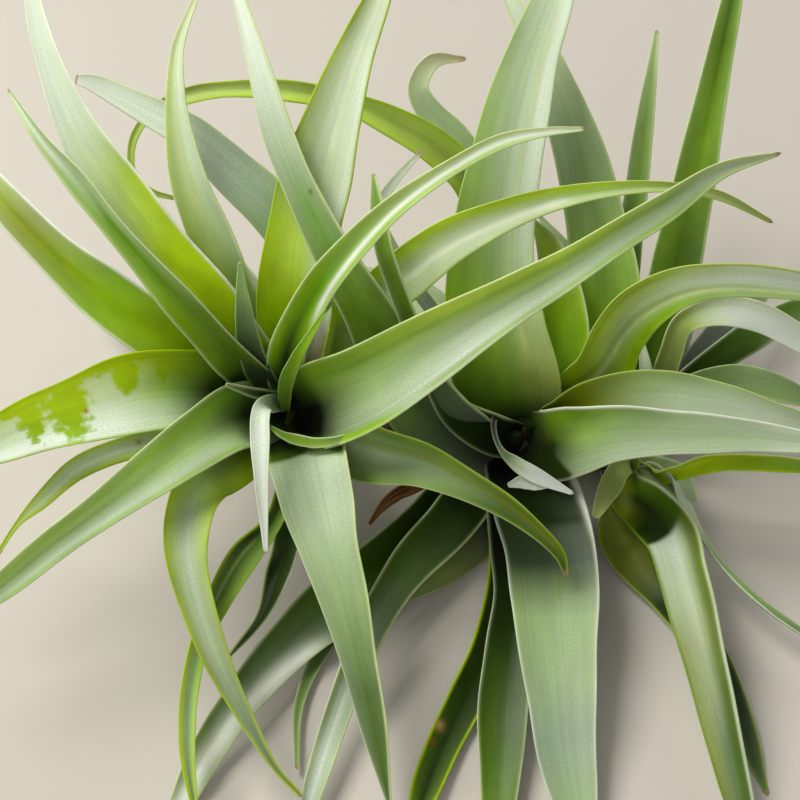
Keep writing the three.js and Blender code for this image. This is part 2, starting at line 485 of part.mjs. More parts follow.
const stemSolid = (swell = 0) => {
  const spine = new THREE.CatmullRomCurve3([
    place(CROWNS.left.foot),
    place([-12, -5, -80]),
    place([10, -8, -82]),
    place(CROWNS.middle.foot),
    place([52, -15, -80]),
    place(CROWNS.right.foot),
  ]);
  const round = new THREE.Shape().absarc(0, 0, STEM_RADIUS + swell, 0, 2 * Math.PI);
  const wood = new THREE.ExtrudeGeometry(round, {
    steps: STEM_STEPS,
    curveSegments: STEM_SIDES / 2,
    extrudePath: spine,
    bevelEnabled: false,
  });
  const outline = new THREE.Shape().absellipse(0, 0, SPOT_LENGTH / 2, SPOT_WIDTH / 2, 0, 2 * Math.PI);
  const foot = new THREE.ExtrudeGeometry(outline, {
    depth: SPOT_THICK,
    curveSegments: SPOT_SIDES / 2,
    bevelEnabled: false,
  });
  const crowns = Object.values(CROWNS).map(({ foot: from, top }) => solidOf(
    peg(place(from), place(top), CROWN_RADIUS + swell, CROWN_TOP_RADIUS + swell),
  ));
  const ground = new THREE.BoxGeometry(SURFACE_ACROSS, SURFACE_ACROSS, SURFACE_DEEP)
    .translate(0, 0, -SURFACE_DEEP / 2);
  return fuse([solidOf(wood), solidOf(foot), ...crowns]).subtract(solidOf(ground));
};

// A heart: the bud on a crown, and the young leaves that stand out of it.
const heartSolid = (crown, youngLeaves, swell = 0) => {
  const from = place(crown.top).addScaledVector(OUTWARD, GAP);
  const to = from.clone().addScaledVector(OUTWARD, BUD_LENGTH);
  const bud = solidOf(peg(from, to, CROWN_TOP_RADIUS + swell, BUD_TIP_RADIUS + swell));
  return fuse([bud, ...Object.values(youngLeaves).map((young) => solidOf(blade(young, swell)))]);
};

// ---- the plant ----

const TINTS = {
  silver: 0xd3dcc4,
  pale: 0xb9cf9c,
  lime: 0xa4b81c,
  vivid: 0x6f9e1a,
  green: 0x7ba02c,
  grey: 0x8fa58a,
  deep: 0x3f6420,
  olive: 0x8a9a3f,
  dry: 0x9a6b35,
  wood: 0x6b5138,
};

const plant = new THREE.Group();
plant.name = "air_plant";

const addPiece = (name, solid, tint) => {
  const finish = new THREE.MeshStandardMaterial({ color: TINTS[tint], roughness: SATIN, metalness: 0 });
  const mesh = new THREE.Mesh(geometryOf(solid), finish);
  mesh.name = name;
  plant.add(mesh);
};

// What is placed first keeps its form: each later piece is cut clear of the earlier ones round it.
// A maker gives the piece's solid, grown all round by the clearance it is called with.
const placed = [];
const addClear = (name, tint, make) => {
  const solid = make(0);
  const near = placed.filter((other) => boxesMeet(other, solid));
  const clear = near.reduce((rest, other) => rest.subtract(other), solid);
  addPiece(name, largestBody(clear), tint);
  placed.push(make(GAP));
};

addClear("stem", "wood", stemSolid);
addClear("left_heart", "pale", (swell) => heartSolid(CROWNS.left, LEFT_HEART, swell));
addClear("middle_heart", "pale", (swell) => heartSolid(CROWNS.middle, MIDDLE_HEART, swell));
addClear("right_heart", "olive", (swell) => heartSolid(CROWNS.right, RIGHT_HEART, swell));
Object.entries(LEAVES).forEach(([name, shape]) => {
  addClear(name, shape.tint, (swell) => solidOf(blade(shape, swell)));
});

export default plant;
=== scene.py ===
# An air plant: three rosettes of long channelled leaves, silvered with scales, grown together on one
# short woody stem. The plant rests on the flat underside of its stem and on the tips of its lowest
# front leaves.

import math

import bpy
import mathutils
import numpy as np
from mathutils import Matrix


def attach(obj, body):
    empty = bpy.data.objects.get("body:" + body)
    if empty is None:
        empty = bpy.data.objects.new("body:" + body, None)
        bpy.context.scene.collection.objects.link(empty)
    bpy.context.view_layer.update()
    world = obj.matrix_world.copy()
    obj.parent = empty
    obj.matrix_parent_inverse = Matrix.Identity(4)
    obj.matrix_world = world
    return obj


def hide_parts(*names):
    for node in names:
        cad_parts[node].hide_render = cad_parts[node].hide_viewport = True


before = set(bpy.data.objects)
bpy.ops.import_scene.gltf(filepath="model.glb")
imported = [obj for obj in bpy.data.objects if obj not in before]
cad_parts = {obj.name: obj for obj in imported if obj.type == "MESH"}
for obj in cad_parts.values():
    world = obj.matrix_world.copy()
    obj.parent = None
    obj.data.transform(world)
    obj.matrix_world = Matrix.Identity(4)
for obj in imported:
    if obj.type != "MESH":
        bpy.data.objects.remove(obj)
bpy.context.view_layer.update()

MM = 0.001

# ---- camera ----
# The plant leans its face back, so the camera looks down on it from straight in front of that face.
# At 600 mm from the face's middle it takes in 240 mm across.

FACE_RISE = math.radians(52)            # how far the line straight out of the face points upwards
FACE_MIDDLE = np.array([-12, -42, 76])  # mm
SIGHT = 600                             # mm from the face's middle to the camera
SEEN_ACROSS = 240                       # mm across the picture at the face's middle
FACE_UP = np.array([0, math.sin(FACE_RISE), math.cos(FACE_RISE)])
FACE_OUT = np.array([0, -math.cos(FACE_RISE), math.sin(FACE_RISE)])

lens = bpy.data.cameras.new("camera")
lens.sensor_width = 36
lens.lens = 36 * SIGHT / SEEN_ACROSS
lens.clip_start = 0.01
camera = bpy.data.objects.new("camera", lens)
camera.location = (FACE_MIDDLE + SIGHT * FACE_OUT) * MM
camera.rotation_euler = (math.pi / 2 - FACE_RISE, 0, 0)
bpy.context.scene.collection.objects.link(camera)
bpy.context.scene.camera = camera

# ---- left rosette ----
# The largest rosette, whose leaves open widest. Each leaf is a long strap, thick along the middle and
# thin at its margins, folded into a channel that opens out towards the tip. Green flesh shows through
# a coat of silver scales, and shows bare where the scales have been rubbed or washed off. The scales
# and the flesh tones are painted lane by lane, partly as the leaf's own colour and partly as painted
# light and shade: painted highlights where half a channel faces the light, brighter green painted on a
# half in shade, and painted shade at the leaves' bases.

FLESH = {
    "well": "#14170a",    # rotted fibre deep in the cup, darkened with painted shade
    "moss": "#24380a",
    "fern": "#46640e",
    "leaf": "#6e9220",
    "spring": "#649a08",
    "vivid": "#86b008",
    "lime": "#9cb808",
    "glow": "#b4d20a",    # painted glow, as of light coming through a leaf's base from behind
    "olive": "#7c8a12",
    "sea": "#5f8050",
    "sage": "#92aa66",
    "pale": "#c6d59a",
    "white": "#eaeee0",
    "straw": "#a0906a",   # a dead tip
    "tan": "#b08a55",
    "brown": "#6d4a26",
    "rust": "#8a3c1c",
}
BLADE_THICK = 1.2       # mm, leaf thickness along the middle
MARGIN_THICK = 0.6      # mm, at the margins
TIP_WIDTH = 0.6         # mm
NARROW = 6              # mm, a leaf thins out where it is narrower than this
BASE_FADE = 5           # how soon the deep channel at a leaf's base opens out
KEEL = 0.18             # how softly a folded leaf's V is rounded, as a share of half its width
SWAY = 1.5              # degrees that a leaf rolls to and fro along its length
SWELL = 0.012           # share of its width that it swells and shrinks
RIPPLE = 0.22           # mm that a leaf's margins wave, and less where it is under RIPPLE_WIDTH
RIPPLE_WIDTH = 12       # mm
ACROSS = 26             # faces across each skin of a leaf
BEAD = 3                # rows of points that round each margin off
RIM_REACH = 0.5         # mm in from a leaf's margin that its painted glow reaches, as of light coming through it
BRINK_FADE = 0.012      # share of a leaf's length over which the painted shade of a cup's base ends
STREAK_FADE = 0.08      # share over which each end of a streak fades
BACK_BLOOM = (0.3, 0.35)  # how thick the scales lie on the back at the base, and how much more beyond


def linear(hex_colour):
    """sRGB hex to linear: each channel's 2.4 power past the short straight toe."""
    srgb = np.array([int(hex_colour[i:i + 2], 16) / 255 for i in (1, 3, 5)])
    return np.where(srgb <= 0.04045, srgb / 12.92, ((srgb + 0.055) / 1.055) ** 2.4)


def smooth(low, high, value):
    """0 below low, 1 above high, and an S-curve between."""
    t = np.clip((value - low) / (high - low), 0, 1)
    return t * t * (3 - 2 * t)


def place(stations):
    """Stations across, up and out of the face, in mm, to places in metres: each is drawn towards the
    viewing point by its share of the way out, then laid along the face's own three directions."""
    across, up, out = stations[:, 0], stations[:, 1], stations[:, 2]
    nearer = 1 - out / SIGHT
    flat = np.outer(across * nearer, [1, 0, 0]) + np.outer(up * nearer, FACE_UP)
    return (FACE_MIDDLE + flat + np.outer(out, FACE_OUT)) * MM


def through(rows, along):
    """A Catmull-Rom curve through rows of numbers, read at shares of its length from 0 to 1."""
    rows = np.array(rows, float)
    rows = np.vstack([2 * rows[0] - rows[1], rows, 2 * rows[-1] - rows[-2]])
    span = along * (len(rows) - 3)
    i = np.minimum(span.astype(int), len(rows) - 4)
    f = (span - i)[:, None]
    a, b, c, d = rows[i], rows[i + 1], rows[i + 2], rows[i + 3]
    return b + 0.5 * f * (c - a + f * (2 * a - 5 * b + 4 * c - d + f * (3 * (b - c) + d - a)))


def unit(vectors):
    """Vectors over their own lengths."""
    return vectors / np.maximum(np.linalg.norm(vectors, axis=-1, keepdims=True), 1e-12)


def channel(stations, bend, roll, crease, seed, along, s):
    """A leaf's inner skin, a row of places across it for each step along. Each row is an arc as wide as
    the leaf is there and as deep as bend says in degrees, drawn towards a V by crease and turned by
    roll. Sines along the leaf, out of step by the seed, sway it and ripple its margins. Returns the
    skin, the leaf's middle line and its width."""
    rows = through(stations, along)
    here = place(rows)
    nearby = 0.01
    heading = unit(place(through(stations, np.minimum(along + nearby, 1)))
                   - place(through(stations, np.maximum(along - nearby, 0))))
    level = unit(np.cross(heading, FACE_OUT))
    facing = np.cross(level, heading)
    rng = np.random.default_rng(seed)
    sway = rng.uniform(0, 2 * np.pi, 6)
    turn = roll[0] + (roll[1] - roll[0]) * along + SWAY * np.sin(9 * along + sway[0])
    turn = np.radians(turn)[:, None]
    side = level * np.cos(turn) + facing * np.sin(turn)
    up = facing * np.cos(turn) - level * np.sin(turn)
    opened = bend[1] + (bend[0] - bend[1]) * np.exp(-BASE_FADE * along)
    half = np.radians(opened / 2)[:, None]
    width = np.maximum(rows[:, 3], TIP_WIDTH) * (1 - rows[:, 2] / SIGHT)
    width = (width * (1 + SWELL * np.sin(31 * along + sway[1])))[:, None] * MM
    radius = width / 2 / np.sin(half)
    depth = radius * (1 - np.cos(half))
    arc_side, arc_up = radius * np.sin(s * half), radius * (1 - np.cos(s * half))
    fold_up = depth * (np.sqrt(s ** 2 + KEEL ** 2) - KEEL) / (math.sqrt(1 + KEEL ** 2) - KEEL)
    in_side = arc_side + crease * (s * width / 2 - arc_side)
    in_up = arc_up + crease * (fold_up - arc_up)
    ripple = (np.sin(23 * along + sway[2]) + 0.6 * np.sin(41 * along + sway[3]))[:, None]
    wave = RIPPLE * MM * np.minimum(width / (RIPPLE_WIDTH * MM), 1)
    in_up = in_up + wave * np.abs(s) ** 3 * np.sign(s) * ripple
    return here[:, None] + in_side[..., None] * side[:, None] + in_up[..., None] * up[:, None], here, width


def closed(inner, width, s):
    """Rings round a leaf from its inner skin: the outer skin lies a thickness behind it, less towards
    the margins and where the leaf is narrow, and a half round joins the two at each margin. Nothing
    goes under the floor. Returns the rings, and each ring point's share across from -1 to 1."""
    cross = unit(np.gradient(inner, axis=1))
    lengthwise = unit(np.gradient(inner, axis=0))
    normal = unit(np.cross(cross, lengthwise))
    taper = 0.45 + 0.55 * np.minimum(width / (NARROW * MM), 1)
    thick = (BLADE_THICK + (MARGIN_THICK - BLADE_THICK) * s ** 2) * MM * taper
    outer = inner - normal * thick[..., None]
    inner[..., 2] = np.maximum(inner[..., 2], thick)
    beads = []
    for edge, sign in ((-1, 1), (0, -1)):
        middle = (inner[:, edge] + outer[:, edge]) / 2
        arm = (inner[:, edge] - outer[:, edge]) / 2
        beyond = sign * cross[:, edge] * np.linalg.norm(arm, axis=1, keepdims=True)
        angles = [k * np.pi / (BEAD + 1) for k in range(1, BEAD + 1)][::sign]
        beads.append(np.stack([middle + arm * math.cos(a) + beyond * math.sin(a) for a in angles], axis=1))
    rings = np.concatenate([inner, beads[0], outer[:, ::-1], beads[1]], axis=1)
    rings[..., 2] = np.maximum(rings[..., 2], 0)
    return rings, np.concatenate([s[0], np.full(BEAD, 1.0), s[0][::-1], np.full(BEAD, -1.0)])


def strap(stations, bend, roll, crease, seed, steps):
    """A leaf's closed skin as rings, one a step along it. The shares across crowd towards the margins,
    as a sine does. Returns the rings, the share along, each ring point's share across and its mm round
    the ring, mm along, and mm wide."""
    along = np.linspace(0, 1, steps + 1)
    t = np.linspace(-1, 1, ACROSS + 1)
    s = (0.4 * t + 0.6 * np.sin(np.pi / 2 * t))[None, :]
    inner, here, width = channel(stations, bend, roll, crease, seed, along, s)
    rings, share = closed(inner, width, s)
    widest = width.max() / MM
    walk = np.concatenate([[0], np.cumsum(np.linalg.norm(np.diff(here, axis=0), axis=1))]) / MM
    bead = 0.05 * np.arange(1, BEAD + 2)
    round_mm = np.concatenate([s[0], 1 + bead[:-1], s[0] + 2.2, 3.2 + bead]) * widest / 2
    return rings, along, share, round_mm, walk, width[:, 0] / MM


def skin_mesh(name, rings, round_mm, walk):
    """A mesh from rings of points: quads between neighbouring rings, and a fan to a pole that closes
    each end. The map holds mm round the rings and along, so patterns keep their real size."""
    steps, count = rings.shape[0] - 1, rings.shape[1]
    poles = np.stack([rings[0].mean(axis=0), rings[-1].mean(axis=0) * 2 - rings[-2].mean(axis=0)])
    points = np.concatenate([rings.reshape(-1, 3), poles])
    j, k = (grid.ravel() for grid in np.meshgrid(np.arange(steps), np.arange(count), indexing="ij"))
    beside = (k + 1) % count
    near, far = j * count, (j + 1) * count
    quads = np.stack([near + k, near + beside, far + beside, far + k], axis=1)
    ring = np.arange(count)
    beside = (ring + 1) % count
    first, last = steps * count + count, steps * count + count + 1
    foot = np.stack([beside, ring, np.full(count, first)], axis=1)
    tip = np.stack([steps * count + ring, steps * count + beside, np.full(count, last)], axis=1)
    mesh = bpy.data.meshes.new(name)
    mesh.vertices.add(len(points))
    mesh.vertices.foreach_set("co", points.ravel())
    corners = np.concatenate([quads.ravel(), foot.ravel(), tip.ravel()])
    sizes = np.concatenate([np.full(len(quads), 4), np.full(2 * count, 3)])
    mesh.loops.add(len(corners))
    mesh.loops.foreach_set("vertex_index", corners.astype(np.int32))
    mesh.polygons.add(len(sizes))
    starts = np.concatenate([[0], np.cumsum(sizes)[:-1]])
    mesh.polygons.foreach_set("loop_start", starts.astype(np.int32))
    mesh.polygons.foreach_set("use_smooth", np.ones(len(sizes), bool))
    u, v = round_mm, walk
    quad_u = np.stack([u[k], u[k + 1], u[k + 1], u[k]], axis=1)
    quad_v = np.stack([v[j], v[j], v[j + 1], v[j + 1]], axis=1)
    foot_u = np.stack([u[ring + 1], u[ring], u[ring]], axis=1)
    tip_u = np.stack([u[ring], u[ring + 1], u[ring]], axis=1)
    uv = np.stack([
        np.concatenate([quad_u.ravel(), foot_u.ravel(), tip_u.ravel()]),
        np.concatenate([quad_v.ravel(), np.full(foot_u.size, v[0]), np.full(tip_u.size, v[-1])]),
    ], axis=1)
    mesh.update(calc_edges=True)
    mesh.uv_layers.new(name="skin").data.foreach_set("uv", uv.ravel())
    mesh.validate()
    return mesh


def paint(mesh, name, values):
    """Keeps a value or a colour for each point of a mesh, under a name that materials read."""
    values = np.asarray(values, float)
    if values.ndim == 1:
        mesh.attributes.new(name, "FLOAT", "POINT").data.foreach_set("value", values)
    else:
        rgba = np.concatenate([values, np.ones((len(values), 1))], axis=1)
        mesh.attributes.new(name, "FLOAT_COLOR", "POINT").data.foreach_set("color", rgba.ravel())


def laned(lanes, at, aside):
    """Numbers at shares along and across. Each lane holds rows evenly spaced from base to tip. A lone
    lane fills the width; three stand left, middle and right, with straight mixes between."""
    runs = [np.stack([np.interp(at, np.linspace(0, 1, len(lane)), column) for column in lane.T], axis=1)
            for lane in lanes]
    if len(runs) == 1:
        return runs[0]
    left, right = (np.clip(side * aside / 0.75, 0, 1)[:, None] for side in (-1, 1))
    return runs[1] + (runs[0] - runs[1]) * left + (runs[2] - runs[1]) * right


def toned(tones, at, aside):
    """Colours at shares along and across, from tone names, with a bar between lanes."""
    lanes = [np.array([linear(FLESH[tone]) for tone in lane.split()]) for lane in tones.split("|")]
    return laned(lanes, at, aside)


def leaf_colours(along, share, width, walk, flesh, bloom, rim, cup, streaks, bare, marks, dry):
    """Flesh colour, scale cover and worn patches over a leaf's rings. Flesh and scale cover run in lanes
    from base to tip, partly as painted light and shade. A cup is a bare base painted dark, as shade over
    rotted fibre, that ends sharply. The rim is a thin line of painted glow at each margin, as of light
    coming through it; streaks are narrow lines along the leaf, some of its own colour and some painted
    highlights and painted shadow lines; bare places have lost their scales, and marks are round stains.
    Each of them fades out as a bell curve of the distance from its middle. The last dry mm of the tip
    are dead."""
    steps, count = len(along), len(share)
    v = np.repeat(along, count)
    s = np.tile(share, steps)
    half = np.repeat(width, count) / 2
    v_mm = np.repeat(walk, count)
    inside = np.tile(np.arange(count) < ACROSS + 1, steps)
    colour = toned(flesh, v, s)
    rows = np.array([np.broadcast_to(row, 3) for row in bloom], float)
    cover = laned(list(rows.T[..., None]), v, s)[:, 0]
    if cup:
        brink = np.interp(s, (-0.9, 0, 0.9), cup[1:])
        out = smooth(brink - BRINK_FADE, brink + BRINK_FADE, v)
        colour += (toned(cup[0], np.minimum(v / brink, 1), s) - colour) * (1 - out)[:, None]
        cover = cover * out
    cover = np.where(inside, cover, BACK_BLOOM[0] + BACK_BLOOM[1] * smooth(0.1, 0.5, v))

    coats = []
    for tone, amount, reach, line in streaks:
        line = np.array(line)
        off = (s - np.interp(v, line[:, 0], line[:, 1])) * half / reach
        start, end = line[0, 0], line[-1, 0]
        ends = smooth(start, start + STREAK_FADE, v) * (1 - smooth(end - STREAK_FADE, end, v))
        coats.append((tone, np.where(inside, amount * np.exp(-off ** 2) * ends, 0)))
    tone, left, right = rim
    into = (1 - np.abs(s)) * half
    edge = np.where(s < 0, left, right) * smooth(0.02, 0.12, v)
    coats.append((tone, np.exp(-(into / RIM_REACH) ** 2) * edge))
    worn = np.zeros(len(v))
    for where, aside, run, reach in bare:
        off = ((v_mm - where * walk[-1]) / run) ** 2 + ((s - aside) * half / reach) ** 2
        worn = np.maximum(worn, np.where(inside, np.exp(-0.7 * off), 0))
    for where, aside, size, tone in marks:
        off = ((v_mm - where * walk[-1]) ** 2 + ((s - aside) * half) ** 2) / size ** 2
        coats.append((tone, np.where(inside, np.exp(-off), 0)))
    for tone, amount in coats:
        colour += (linear(FLESH[tone]) - colour) * amount[:, None]
        cover = cover * (1 - amount)
    if dry:
        dead = smooth(walk[-1] - dry, walk[-1] - 0.35 * dry, v_mm)
        colour += (linear(FLESH["straw"]) - colour) * dead[:, None]
        cover = cover * (1 - 0.8 * dead)
    return [np.concatenate([values, values[[0, -1]]]) for values in (colour, cover, worn)]


def node(tree, kind, settings=None, **links):
    """Adds a node of a kind with its settings. A link names the socket it goes to, and holds a value or
    another node's output."""
    made = tree.nodes.new(kind)
    for key, value in (settings or {}).items():
        setattr(made, key, value)
    for key, value in links.items():
        key = key.replace("_", " ")
        socket = made.inputs[int(key[1:])] if key[1:].isdigit() else made.inputs[key]
        if isinstance(value, bpy.types.NodeSocket):
            tree.links.new(value, socket)
        else:
            socket.default_value = value
    return made


LEAF_PATTERNS = {       # waves a mm across and along the leaf, layers of detail, and how rough they are
    "veins": ((1 / 0.9, 0.012), 3, 0.6),            # 0.9 mm apart
    "bands": ((0.22, 0.01), 2, 0.5),
    "mottle": ((0.16, 0.07), 3, 0.5),
    "grain": ((1 / 0.45, 0.5 / 0.45), 2, 0.5),      # tufts of scales, drawn as coarse as they need to show
    "tears": ((0.3, 0.3), 2, 0.5),                  # the ragged edges of bare patches
}


def leaf_skin():
    """Bromeliad leaf: waxy green flesh under a coat of silver scales. The flesh is satin and lets light
    through; the scales, and the highlights painted as scales, make it paler, rougher and velvety. Veins
    run lengthwise as faint streaks."""
    material = bpy.data.materials.new("bromeliad leaf, silver scaled")
    material.use_nodes = True
    tree = material.node_tree
    shader = tree.nodes["Principled BSDF"]
    flesh = node(tree, "ShaderNodeAttribute", {"attribute_name": "flesh"}).outputs["Color"]
    # The scale cover, which also carries painted highlights, mixes the leaf towards silver.
    bloom = node(tree, "ShaderNodeAttribute", {"attribute_name": "bloom"}).outputs["Fac"]
    worn = node(tree, "ShaderNodeAttribute", {"attribute_name": "worn"}).outputs["Fac"]
    skin = node(tree, "ShaderNodeUVMap", {"uv_map": "skin"}).outputs["UV"]
    waves = {}
    for pattern, (per_mm, detail, roughness) in LEAF_PATTERNS.items():
        placed = node(tree, "ShaderNodeMapping", Vector=skin, Scale=(*per_mm, 1)).outputs[0]
        waves[pattern] = node(tree, "ShaderNodeTexNoise", {"noise_dimensions": "2D"}, Vector=placed,
                              Scale=1.0, Detail=detail, Roughness=roughness).outputs["Fac"]

    ragged = node(tree, "ShaderNodeMath", {"operation": "MULTIPLY_ADD"},
                  i0=waves["tears"], i1=0.8, i2=worn).outputs[0]
    cover = node(tree, "ShaderNodeMapRange", {"interpolation_type": "SMOOTHSTEP"},
                 Value=ragged, From_Min=0.76, From_Max=1.1, To_Min=1.0, To_Max=0.0).outputs[0]
    cover = node(tree, "ShaderNodeMath", {"operation": "MULTIPLY"}, i0=bloom, i1=cover).outputs[0]
    for pattern, clamp, lowest, low, high in (
        ("veins", False, 0.3, 0.9, 1.08), ("bands", True, 0.3, 0.92, 1.06), ("grain", True, 0.25, 0.8, 1.14),
    ):
        share = node(tree, "ShaderNodeMapRange", Value=waves[pattern], From_Min=lowest, From_Max=1 - lowest,
                     To_Min=low, To_Max=high).outputs[0]
        cover = node(tree, "ShaderNodeMath", {"operation": "MULTIPLY", "use_clamp": clamp},
                     i0=cover, i1=share).outputs[0]
    green = flesh
    for pattern, low, high in (("veins", 0.96, 1.04), ("mottle", 0.9, 1.1)):
        lit = node(tree, "ShaderNodeMapRange", Value=waves[pattern], From_Min=0.3, From_Max=0.7,
                   To_Min=low, To_Max=high).outputs[0]
        green = node(tree, "ShaderNodeVectorMath", {"operation": "SCALE"}, i0=green, Scale=lit).outputs[0]
    share = node(tree, "ShaderNodeMath", {"operation": "MULTIPLY"}, i0=cover, i1=0.94).outputs[0]
    colour = node(tree, "ShaderNodeMix", {"data_type": "RGBA"},
                  Factor=share, i6=green, i7=(*linear("#e2ebe0"), 1)).outputs[2]
    rough = node(tree, "ShaderNodeMapRange", Value=cover, To_Min=0.38, To_Max=0.62).outputs[0]
    relief = node(tree, "ShaderNodeMath", {"operation": "MULTIPLY_ADD"},
                  i0=waves["grain"], i1=0.35, i2=waves["veins"]).outputs[0]
    bump = node(tree, "ShaderNodeBump", Strength=0.35, Distance=0.00012, Height=relief).outputs[0]
    for socket, value in (("Base Color", colour), ("Roughness", rough), ("Normal", bump)):
        tree.links.new(value, shader.inputs[socket])
    for socket, value in (
        ("IOR", 1.45), ("Specular IOR Level", 0.16), ("Sheen Weight", 0.03), ("Sheen Roughness", 0.45),
        ("Subsurface Weight", 0.35), ("Subsurface Radius", (1.0, 0.95, 0.2)), ("Subsurface Scale", 0.0016),
    ):
        shader.inputs[socket].default_value = value
    return material


LEAF_SKIN = leaf_skin()


def new_piece(name, mesh, material, slot, *nodes):
    """Puts a finished mesh in the scene in place of its nodes, on the plant's one body."""
    piece = bpy.data.objects.new(name, mesh)
    bpy.context.scene.collection.objects.link(piece)
    mesh.materials.append(material)
    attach(piece, "root")
    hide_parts(*nodes)


def leaf_mesh(name, seed, stations, bend, flesh, bloom, roll=(0, 0), crease=0.3, rim=("pale", 0.3, 0.3),
              cup=None, streaks=(), bare=(), marks=(), dry=0.8, steps=140):
    """One leaf, shaped and coloured. What it takes:
    stations: places along it, as mm across, up and out of the face, and mm wide
    bend, roll: degrees at the base and the tip; crease: 0 for a round channel, 1 for a V
    flesh: tones from base to tip, in one lane or in left, middle and right lanes, with painted light and
    shade
    bloom: how thick the scales lie, with painted highlights, from 0 to 1, from base to tip, one number or
    three
    rim: the tone of the painted glow at the margins, and how strong it is at the left and the right one
    cup: tones of the base painted dark as shade, and the shares along where it ends at the left, middle and
    right
    streaks: tone, strength, mm of reach, and places as shares along and across (-1 to 1); some are painted
    highlights and painted shadow lines
    bare: share along, share across, and mm of reach along and across
    marks: share along, share across, mm of reach and tone
    dry: mm of dead tip; steps: rings along it"""
    rings, along, share, round_mm, walk, width = strap(stations, bend, roll, crease, seed, steps)
    mesh = skin_mesh(name, rings, round_mm, walk)
    looks = leaf_colours(along, share, width, walk, flesh, bloom, rim, cup, streaks, bare, marks, dry)
    for value, values in zip(("flesh", "bloom", "worn"), looks):
        paint(mesh, value, values)
    return mesh


FIRST_SEED = {"left": 0, "middle": 100, "right": 200}   # each leaf sways by a seed of its own


def leaf(rosette, number, slot, **shape):
    """A leaf of a rosette, in place of its solid. They are numbered roughly from the youngest, high on
    the crown, to the oldest."""
    name = f"{rosette}_leaf_{number:02d}"
    mesh = leaf_mesh(name, FIRST_SEED[rosette] + number - 1, **shape)
    new_piece(name + "_blade", mesh, LEAF_SKIN, slot, name)


def back_leaf(rosette, number, stations):
    """One of the plain dark leaves that hang behind a rosette."""
    leaf(rosette, number, "leaf_deep", stations=stations, bend=(70, 44), crease=0.2,
         flesh="moss moss leaf", bloom=[0.1, 0.25, 0.3])


# Its white streak is a painted highlight along the crease.
leaf("left", 1, "leaf_vivid", bend=(100, 62), roll=(-12, 8), crease=0.7, rim=("pale", 0.6, 0.5),
     stations=[(-33, 2, -48, 8), (-34.5, 7, -25, 10), (-34, 14, -8, 10.5), (-31, 22, 1, 10.2),
               (-23.5, 35, 9, 9.2), (-12.1, 48.1, 14, 7.9), (0.4, 59.6, 17, 5.9), (15.5, 69.7, 18, 4.6),
               (30, 77.3, 17, 4.2), (43, 80.3, 15, 2.6), (55, 81.3, 12, 1)],
     flesh="moss vivid vivid lime lime lime | "
           "well moss spring vivid vivid sage | "
           "leaf vivid vivid vivid vivid vivid",
     bloom=[0, 0, 0, (0.18, 0.3, 0.02), (0.42, 0.85, 0.18), (0.75, 1, 0.55)],
     streaks=[("white", 0.9, 0.85, [(0.3, 0.78), (0.42, 0.58), (0.55, 0.34), (0.75, 0.02), (1, 0)])])
leaf("left", 2, "leaf_deep", bend=(110, 76), roll=(34, 26), crease=0.9, rim=("pale", 0.7, 0.2),
     stations=[(-37, 2, -50, 8), (-43, 7, -26, 12), (-51, 14, -4, 12.9), (-65.6, 29.7, 12, 11),
               (-83.7, 49.7, 20, 7.6), (-96.3, 65.2, 22, 7.2), (-107.6, 78.1, 20, 4.3),
               (-117.3, 92.7, 15, 1)],
     flesh="moss fern vivid vivid leaf sage | "
           "moss fern leaf spring sage sage | "
           "moss fern leaf vivid sage sage",
     bloom=[(0.05, 0, 0), 0, 0, (0.12, 0, 0.36), (0.22, 0.62, 0.12), (0.4, 0.8, 0.1)])
leaf("left", 3, "leaf_silver", bend=(150, 44), roll=(0, -14), crease=0.35, rim=("pale", 0.5, 0.5),
     stations=[(-31, -3, -52, 14), (-27, -2.5, -33, 21), (-21.5, -0.5, -14, 25), (-10, 4.5, 2, 25),
               (6, 14, 12, 21.5), (21, 23, 20, 17.6), (36, 31.5, 25, 13.8), (51, 40, 27, 11),
               (66, 49.4, 26, 9.4), (81, 58.6, 23, 8), (96.5, 68.9, 18, 4.6), (113.4, 73.8, 10, 1)],
     flesh="vivid vivid vivid glow glow glow lime lime | "
           "well well vivid leaf leaf leaf leaf leaf | "
           "well well leaf leaf leaf leaf leaf lime",
     bloom=[0, 0, (0.05, 0.3, 0.5), (0.1, 0.35, 0.9), (0.1, 0.2, 0.75), (0.1, 0.35, 0.5), (0.3, 0.45, 0.3),
            (0.6, 0.6, 0.5)],
     streaks=[("spring", 0.5, 1.1, [(0.15, -0.6), (0.4, -0.55), (0.9, -0.45)]),
              ("vivid", 1, 1.7, [(-0.1, 0.97), (0.08, 0.95), (0.2, 0.93), (0.34, 0.96)]),
              ("vivid", 0.7, 0.9, [(0.3, 0.88), (0.9, 0.85)])])
leaf("left", 4, "leaf_pale", bend=(130, 46), roll=(0, 8), rim=("pale", 0.2, 0.7),
     stations=[(-36, -3, -54, 12), (-42, -4, -33, 18), (-50.3, -5.8, -12, 19.5), (-60.1, -11.8, 0, 16.9),
               (-74.6, -22, 8, 14.2), (-89.3, -32.8, 12, 10.5), (-104.9, -44.2, 12, 9.3),
               (-120.2, -56.8, 10, 7.3), (-133.5, -67.5, 6, 1)],
     flesh="moss vivid leaf leaf leaf leaf | "
           "well moss vivid leaf leaf leaf | "
           "moss spring vivid vivid lime lime",
     bloom=[(0.1, 0, 0), (0.3, 0.02, 0.02), (0.55, 0.2, 0.14), (0.7, 0.14, 0.36), (0.7, 0.16, 0.4),
            (0.7, 0.28, 0.4)],
     streaks=[("vivid", 0.6, 1.8, [(0.2, 0.6), (0.5, 0.62), (0.95, 0.6)]),
              ("vivid", 0.7, 1, [(0.25, -0.9), (0.6, -0.92), (1, -0.9)])])
